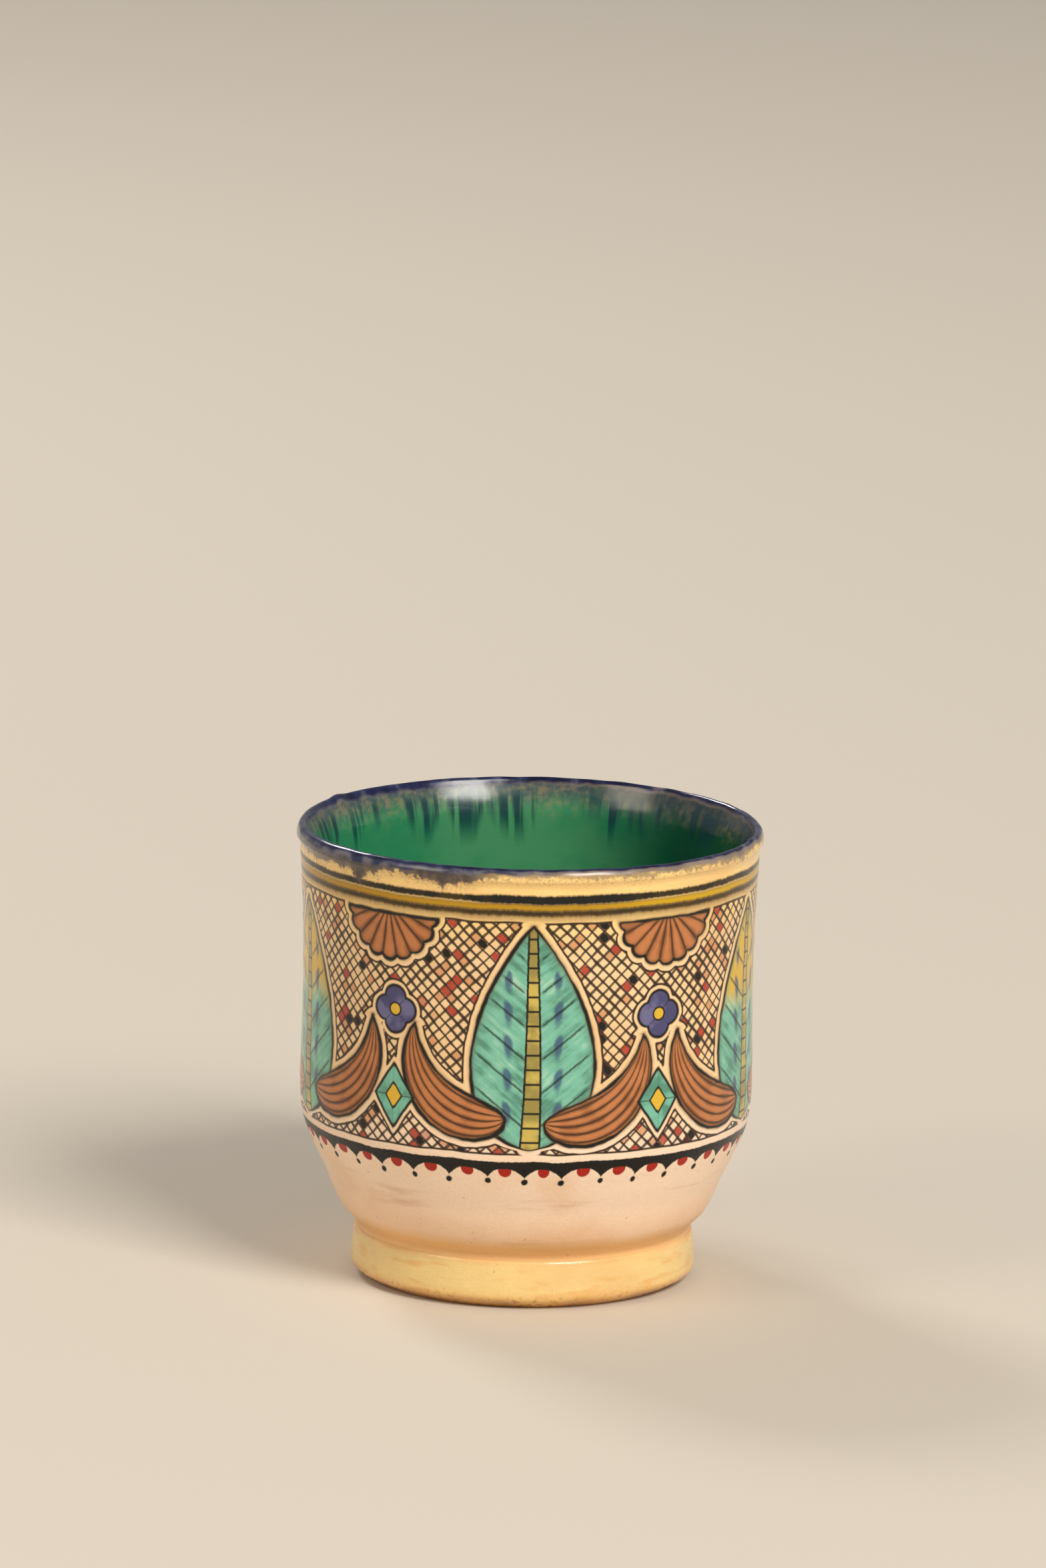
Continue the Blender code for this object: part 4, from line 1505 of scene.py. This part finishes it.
clear = (bench.kept("handle_gap") + tremble).ease(0.0, 0.3)
count = turn * (SCALLOPS / (2 * math.pi)) + slow * 0.34
aside = abs(count.beat())
arch = (aside * 2.0) ** CUSP_POWER
edge = hand - (CROWN - arch * CUSP_DEPTH) + fuzz
band_top = (hand + fuzz).ease(SCALLOP_TOP + 0.15, SCALLOP_TOP - 0.1)
red_x, red_z = aside * (SCALLOP_WIDTH / RED_RADIUS), (hand - RED_HEIGHT) / RED_RADIUS
red = (red_x * red_x + red_z * red_z).ease(0.8, 1.15, 1.0, 0.0)
dot_x, dot_z = (0.5 - aside) * SCALLOP_WIDTH, height + slow * 1.4 - DOT_HEIGHT
dots = (bench.hypot(dot_x, dot_z) + fuzz).ease(0.42, 0.72, 1.0, 0.0)
tails = dot_x.stroke(0.06, 0.08) * dot_z.ease(0.0, 0.3) * hand.ease(27.6, 27.2) * 0.4
picture = bench.layered(
    picture,
    (red * clear, RED_DOT),
    (edge.ease(-0.1, 0.2) * band_top * clear, BRUSH_BLACK),
    (bench.most(dots, tails) * clear, BRUSH_BLACK),
)
print("border:", SCALLOPS, "scallops,", round(SCALLOP_WIDTH, 1), "mm wide")

# %% [markdown]
# Three lines run round under the rim on the turning wheel: black, yellow and olive. The brush was loaded
# again near the front, where the upper one is darkest, and the lowest has smeared downwards.

# %% Paint the lines under the rim
UPPER_LINE = 78.95
YELLOW_LINE = 77.5
LOWER_LINE = 76.45
SMEAR_DROP = 2.4
LINE_DARK = colour(10, 7, 4)
LINE_THIN = colour(56, 40, 8)
LINE_OLIVE = colour(70, 50, 10)
GOLD = colour(182, 136, 14)
GOLD_LIGHT = colour(204, 160, 16)

fringe = bench.noise(0.6, 2.0, (1.0, 1.0, 0.35))
sway = height - 0.25 + fringe * 0.5 + slow * 0.6
off_yellow = sway - YELLOW_LINE
smear = sway.ease(LOWER_LINE - SMEAR_DROP, LOWER_LINE - 0.2) * sway.ease(LOWER_LINE + 0.1, LOWER_LINE) * 0.7
gold = bench.mix(turn.ease(0.2, 0.7), GOLD, GOLD_LIGHT)
gold = bench.mix(abs(off_yellow).ease(0.25, 0.70, 0.0, 0.75), gold, LINE_OLIVE)
wet = bench.noise(9, 2.0, UPRIGHT).ease(0.42, 0.6)
lap = turn.ease(-0.28, -0.12) * turn.ease(0.62, 0.38)
ink = bench.mix(bench.most(wet, lap), LINE_THIN, LINE_DARK)
wash = bench.group(RIM_WASH)
picture = bench.layered(
    picture,
    (smear, BLEED),
    (off_yellow.stroke(0.65, 0.25), gold),
    ((sway - LOWER_LINE).stroke(0.54, 0.34), bench.mix(wet, LINE_OLIVE, LINE_THIN)),
    ((sway - UPPER_LINE).stroke(lap * 0.24 + 0.60, 0.28), ink),
    (wash["Mask"], wash["Color"]),
)
print("lines at", LOWER_LINE, YELLOW_LINE, UPPER_LINE)

# %% [markdown]
# A clear glaze covers the painting. It is glossy on the wall and thin on the bowl, where the clay looks dry,
# and small pits in it break up the reflections.

# %% Glaze the painting
pits = bench.noise(1.3)
clear_glaze = {
    "Base Color": picture,
    "Roughness": ground["Grain"] * 0.12 + height.ease(25.0, 32.0, 0.36, 0.14),
    "Coat Weight": height.ease(25.0, 33.0, 0.05, 0.25),
    "Coat Roughness": 0.08,
    "Specular IOR Level": 0.3,
}
bench.dress([body], pits * 1.6 + ground["Grain"], strength=0.25, depth=0.12, sockets=clear_glaze)

# %% [markdown]
# ## The other finishes
# The foot, its fillet and the handle are the bare ground under a thin glaze, each with its own wear. The
# foot is worn on its edge, and the fillet is amber, partly from pooled glaze and partly from painted shade.


# %% Finish the foot and its fillet
def dress_clay(pieces, picture, grain, dull, spread, coat=0.0):
    """Gives a clay finish to pieces: its colour, a satin sheen that varies with the grain, and a bump."""
    sockets = {"Base Color": picture, "Roughness": grain * spread + dull, "Coat Weight": coat}
    bench.dress(pieces, grain, strength=0.3, depth=0.12, sockets=sockets)


bench = Finish("yellow_foot")
height = bench.group(WHEEL_TERMS)["Height"]
ground = bench.group(BARE_GROUND)
cloud = bench.noise(9, 3.0)
grit = bench.noise(1.1, 3.0)
rubbed = height.ease(3.0, 1.0) * cloud.ease(0.38, 0.58) * 0.6
chipped = height.ease(3.2, 1.4) * grit.ease(0.52, 0.64) * 0.8
swept = bench.noise(8, 4.0, (1.0, 1.0, 5.0))
ripple = bench.noise(2.2, 4.0, (1.0, 1.0, 3.0))
picture = bench.layered(
    ground["Color"],
    (bench.most(rubbed, chipped), colour(172, 106, 52)),
    (swept.ease(0.50, 0.70, 0.0, 0.55), colour(224, 164, 86)),
    (height.ease(2.0, 4.0) * cloud.ease(0.50, 0.68) * 0.4, colour(250, 214, 140)),
)
thick_coat = cloud.ease(0.35, 0.65, 0.1, 0.4)
rough = ripple * 2.0 + ground["Grain"]
dress_clay([foot], picture, rough, dull=0.12, spread=0.12, coat=thick_coat)

FILLET_POOL_AND_SHADE_HEIGHT = 10.3
bench = Finish("orange_lute")
height = bench.group(WHEEL_TERMS)["Height"]
ground = bench.group(BARE_GROUND)
# Darker amber band in the fillet: partly pooled glaze, partly painted shade under the bowl
pooled = (height - FILLET_POOL_AND_SHADE_HEIGHT).stroke(0.3, 0.9) * 0.35
picture = bench.mix(pooled, ground["Color"], colour(204, 138, 74))
dress_clay([fillet], picture, ground["Grain"], dull=0.24, spread=0.18)

# %% [markdown]
# The handle has brush strokes across its outer face, brown and turquoise in turn, that stop short of the
# lutes. The lengths and angles that the loft kept on its points place them.

# %% Finish the handle and its lutes
STROKE_PITCH = 9.0
BARE_END = 9.0
STROKE_FADE = 3.0
STROKE_BROWN = colour(150, 92, 48)

bench = Finish("handle_slip")
ground = bench.group(BARE_GROUND)
along = bench.kept("along") + bench.tremble(3.0, 0.5)
facing = bench.math("SINE", bench.kept("round"))
count = along / STROKE_PITCH
off_stroke = count.beat() * STROKE_PITCH
broad = facing * 1.3 - 0.2
tail_end = STRAP_LENGTH - BARE_END
head = along.ease(BARE_END, BARE_END + STROKE_FADE)
tail = along.ease(tail_end, tail_end - STROKE_FADE)
on_face = facing.ease(0.25, 0.45) * head * tail
sweep = bench.noise(1.4, 3.0, (0.25, 1.0, 1.0))
dye = bench.layered(
    bench.mix(bench.math("MODULO", bench.math("FLOOR", count), 2.0), STROKE_BROWN, TURQUOISE_DEEP),
    (sweep.ease(0.45, 0.70, 0.0, 0.6), CREAM),
    (sweep.ease(0.48, 0.28, 0.0, 0.45), BRUSH_BROWN),
)
picture = bench.layered(
    ground["Color"],
    (off_stroke.stroke(broad, 0.3) * on_face * 0.95, dye),
    ((abs(off_stroke) - broad).stroke(0.22, 0.18) * on_face, BRUSH_BLACK),
)
thin_coat = ground["Grain"].ease(0.3, 0.7, 0.5, 0.3)
dress_clay([handle], picture, ground["Grain"], dull=0.14, spread=0.14, coat=thin_coat)

bench = Finish("handle_lute")
ground = bench.group(BARE_GROUND)
pooled = bench.kept("along").ease(0.0, 1.4, 0.5, 0.0)
picture = bench.mix(pooled, ground["Color"], colour(206, 146, 84))
dress_clay([upper_lute, lower_lute], picture, ground["Grain"], dull=0.16, spread=0.14)

# %% [markdown]
# The rim goes from the wash outside over a grey flank and a navy crest into the runs inside. On the right the
# flank is painted lighter and tan, a painted highlight. A share of the way across the lip, from 1 outside to
# -1 inside, says which of them shows. The lining is the runs alone.

# %% Finish the two glazes
LIP_HALF = (wall_radius(LIP_HEIGHT) - inside_radius(LIP_HEIGHT)) / 2 + GLASS
GLAZE_SHINE = {"Coat Roughness": 0.16, "Specular IOR Level": 0.3}

bench = Finish("cobalt_glaze")
terms = bench.group(WHEEL_TERMS)
ground = bench.group(BARE_GROUND)
wash = bench.group(RIM_WASH)
runs = bench.group(INSIDE_RUNS)
tremble = bench.tremble(3.2, 0.16)
lip = (terms["Reach"] - LIP_MIDDLE) / LIP_HALF + tremble
cloud = bench.noise(3.5, 3.0)
# Painted highlight: the flank turns lighter and tan towards the right side
painted_highlight_side = bench.math("SINE", terms["Turn"]).ease(-0.2, 0.3, 0.0, 0.6)
low_side = lip.ease(0.0, 0.2) * terms["Height"].ease(LIP_HEIGHT + 0.7, LIP_HEIGHT)
crest = lip.ease(0.72, 0.46) * lip.ease(-0.75, -0.45) * cloud.ease(0.72, 0.58, 0.6, 1.0) * (1.0 - low_side)
picture = bench.layered(
    bench.mix(cloud.ease(0.38, 0.62), colour(50, 56, 82), colour(112, 108, 114)),
    (painted_highlight_side, colour(156, 136, 112)),
    (bench.most(lip.ease(0.80, 0.97), low_side), bench.mix(wash["Mask"], ground["Color"], wash["Color"])),
    (crest, bench.mix(cloud.ease(0.35, 0.65), colour(10, 12, 48), colour(34, 40, 80))),
    (lip.ease(-0.55, -0.80), runs["Color"]),
)
blue_glaze = {"Base Color": picture, "Roughness": cloud * 0.20 + 0.10, "Coat Weight": 0.3, **GLAZE_SHINE}
bench.dress([rim], cloud, strength=0.2, depth=0.25, sockets=blue_glaze)

bench = Finish("green_glaze")
runs = bench.group(INSIDE_RUNS)
rings = bench.noise(1.6, 3.0, (0.3, 0.3, 1.0))
dull = rings * 0.20 + 0.12
green_glaze = {"Base Color": runs["Color"], "Roughness": dull, "Coat Weight": 0.25, **GLAZE_SHINE}
bench.dress([lining], rings, strength=0.25, depth=0.2, sockets=green_glaze)
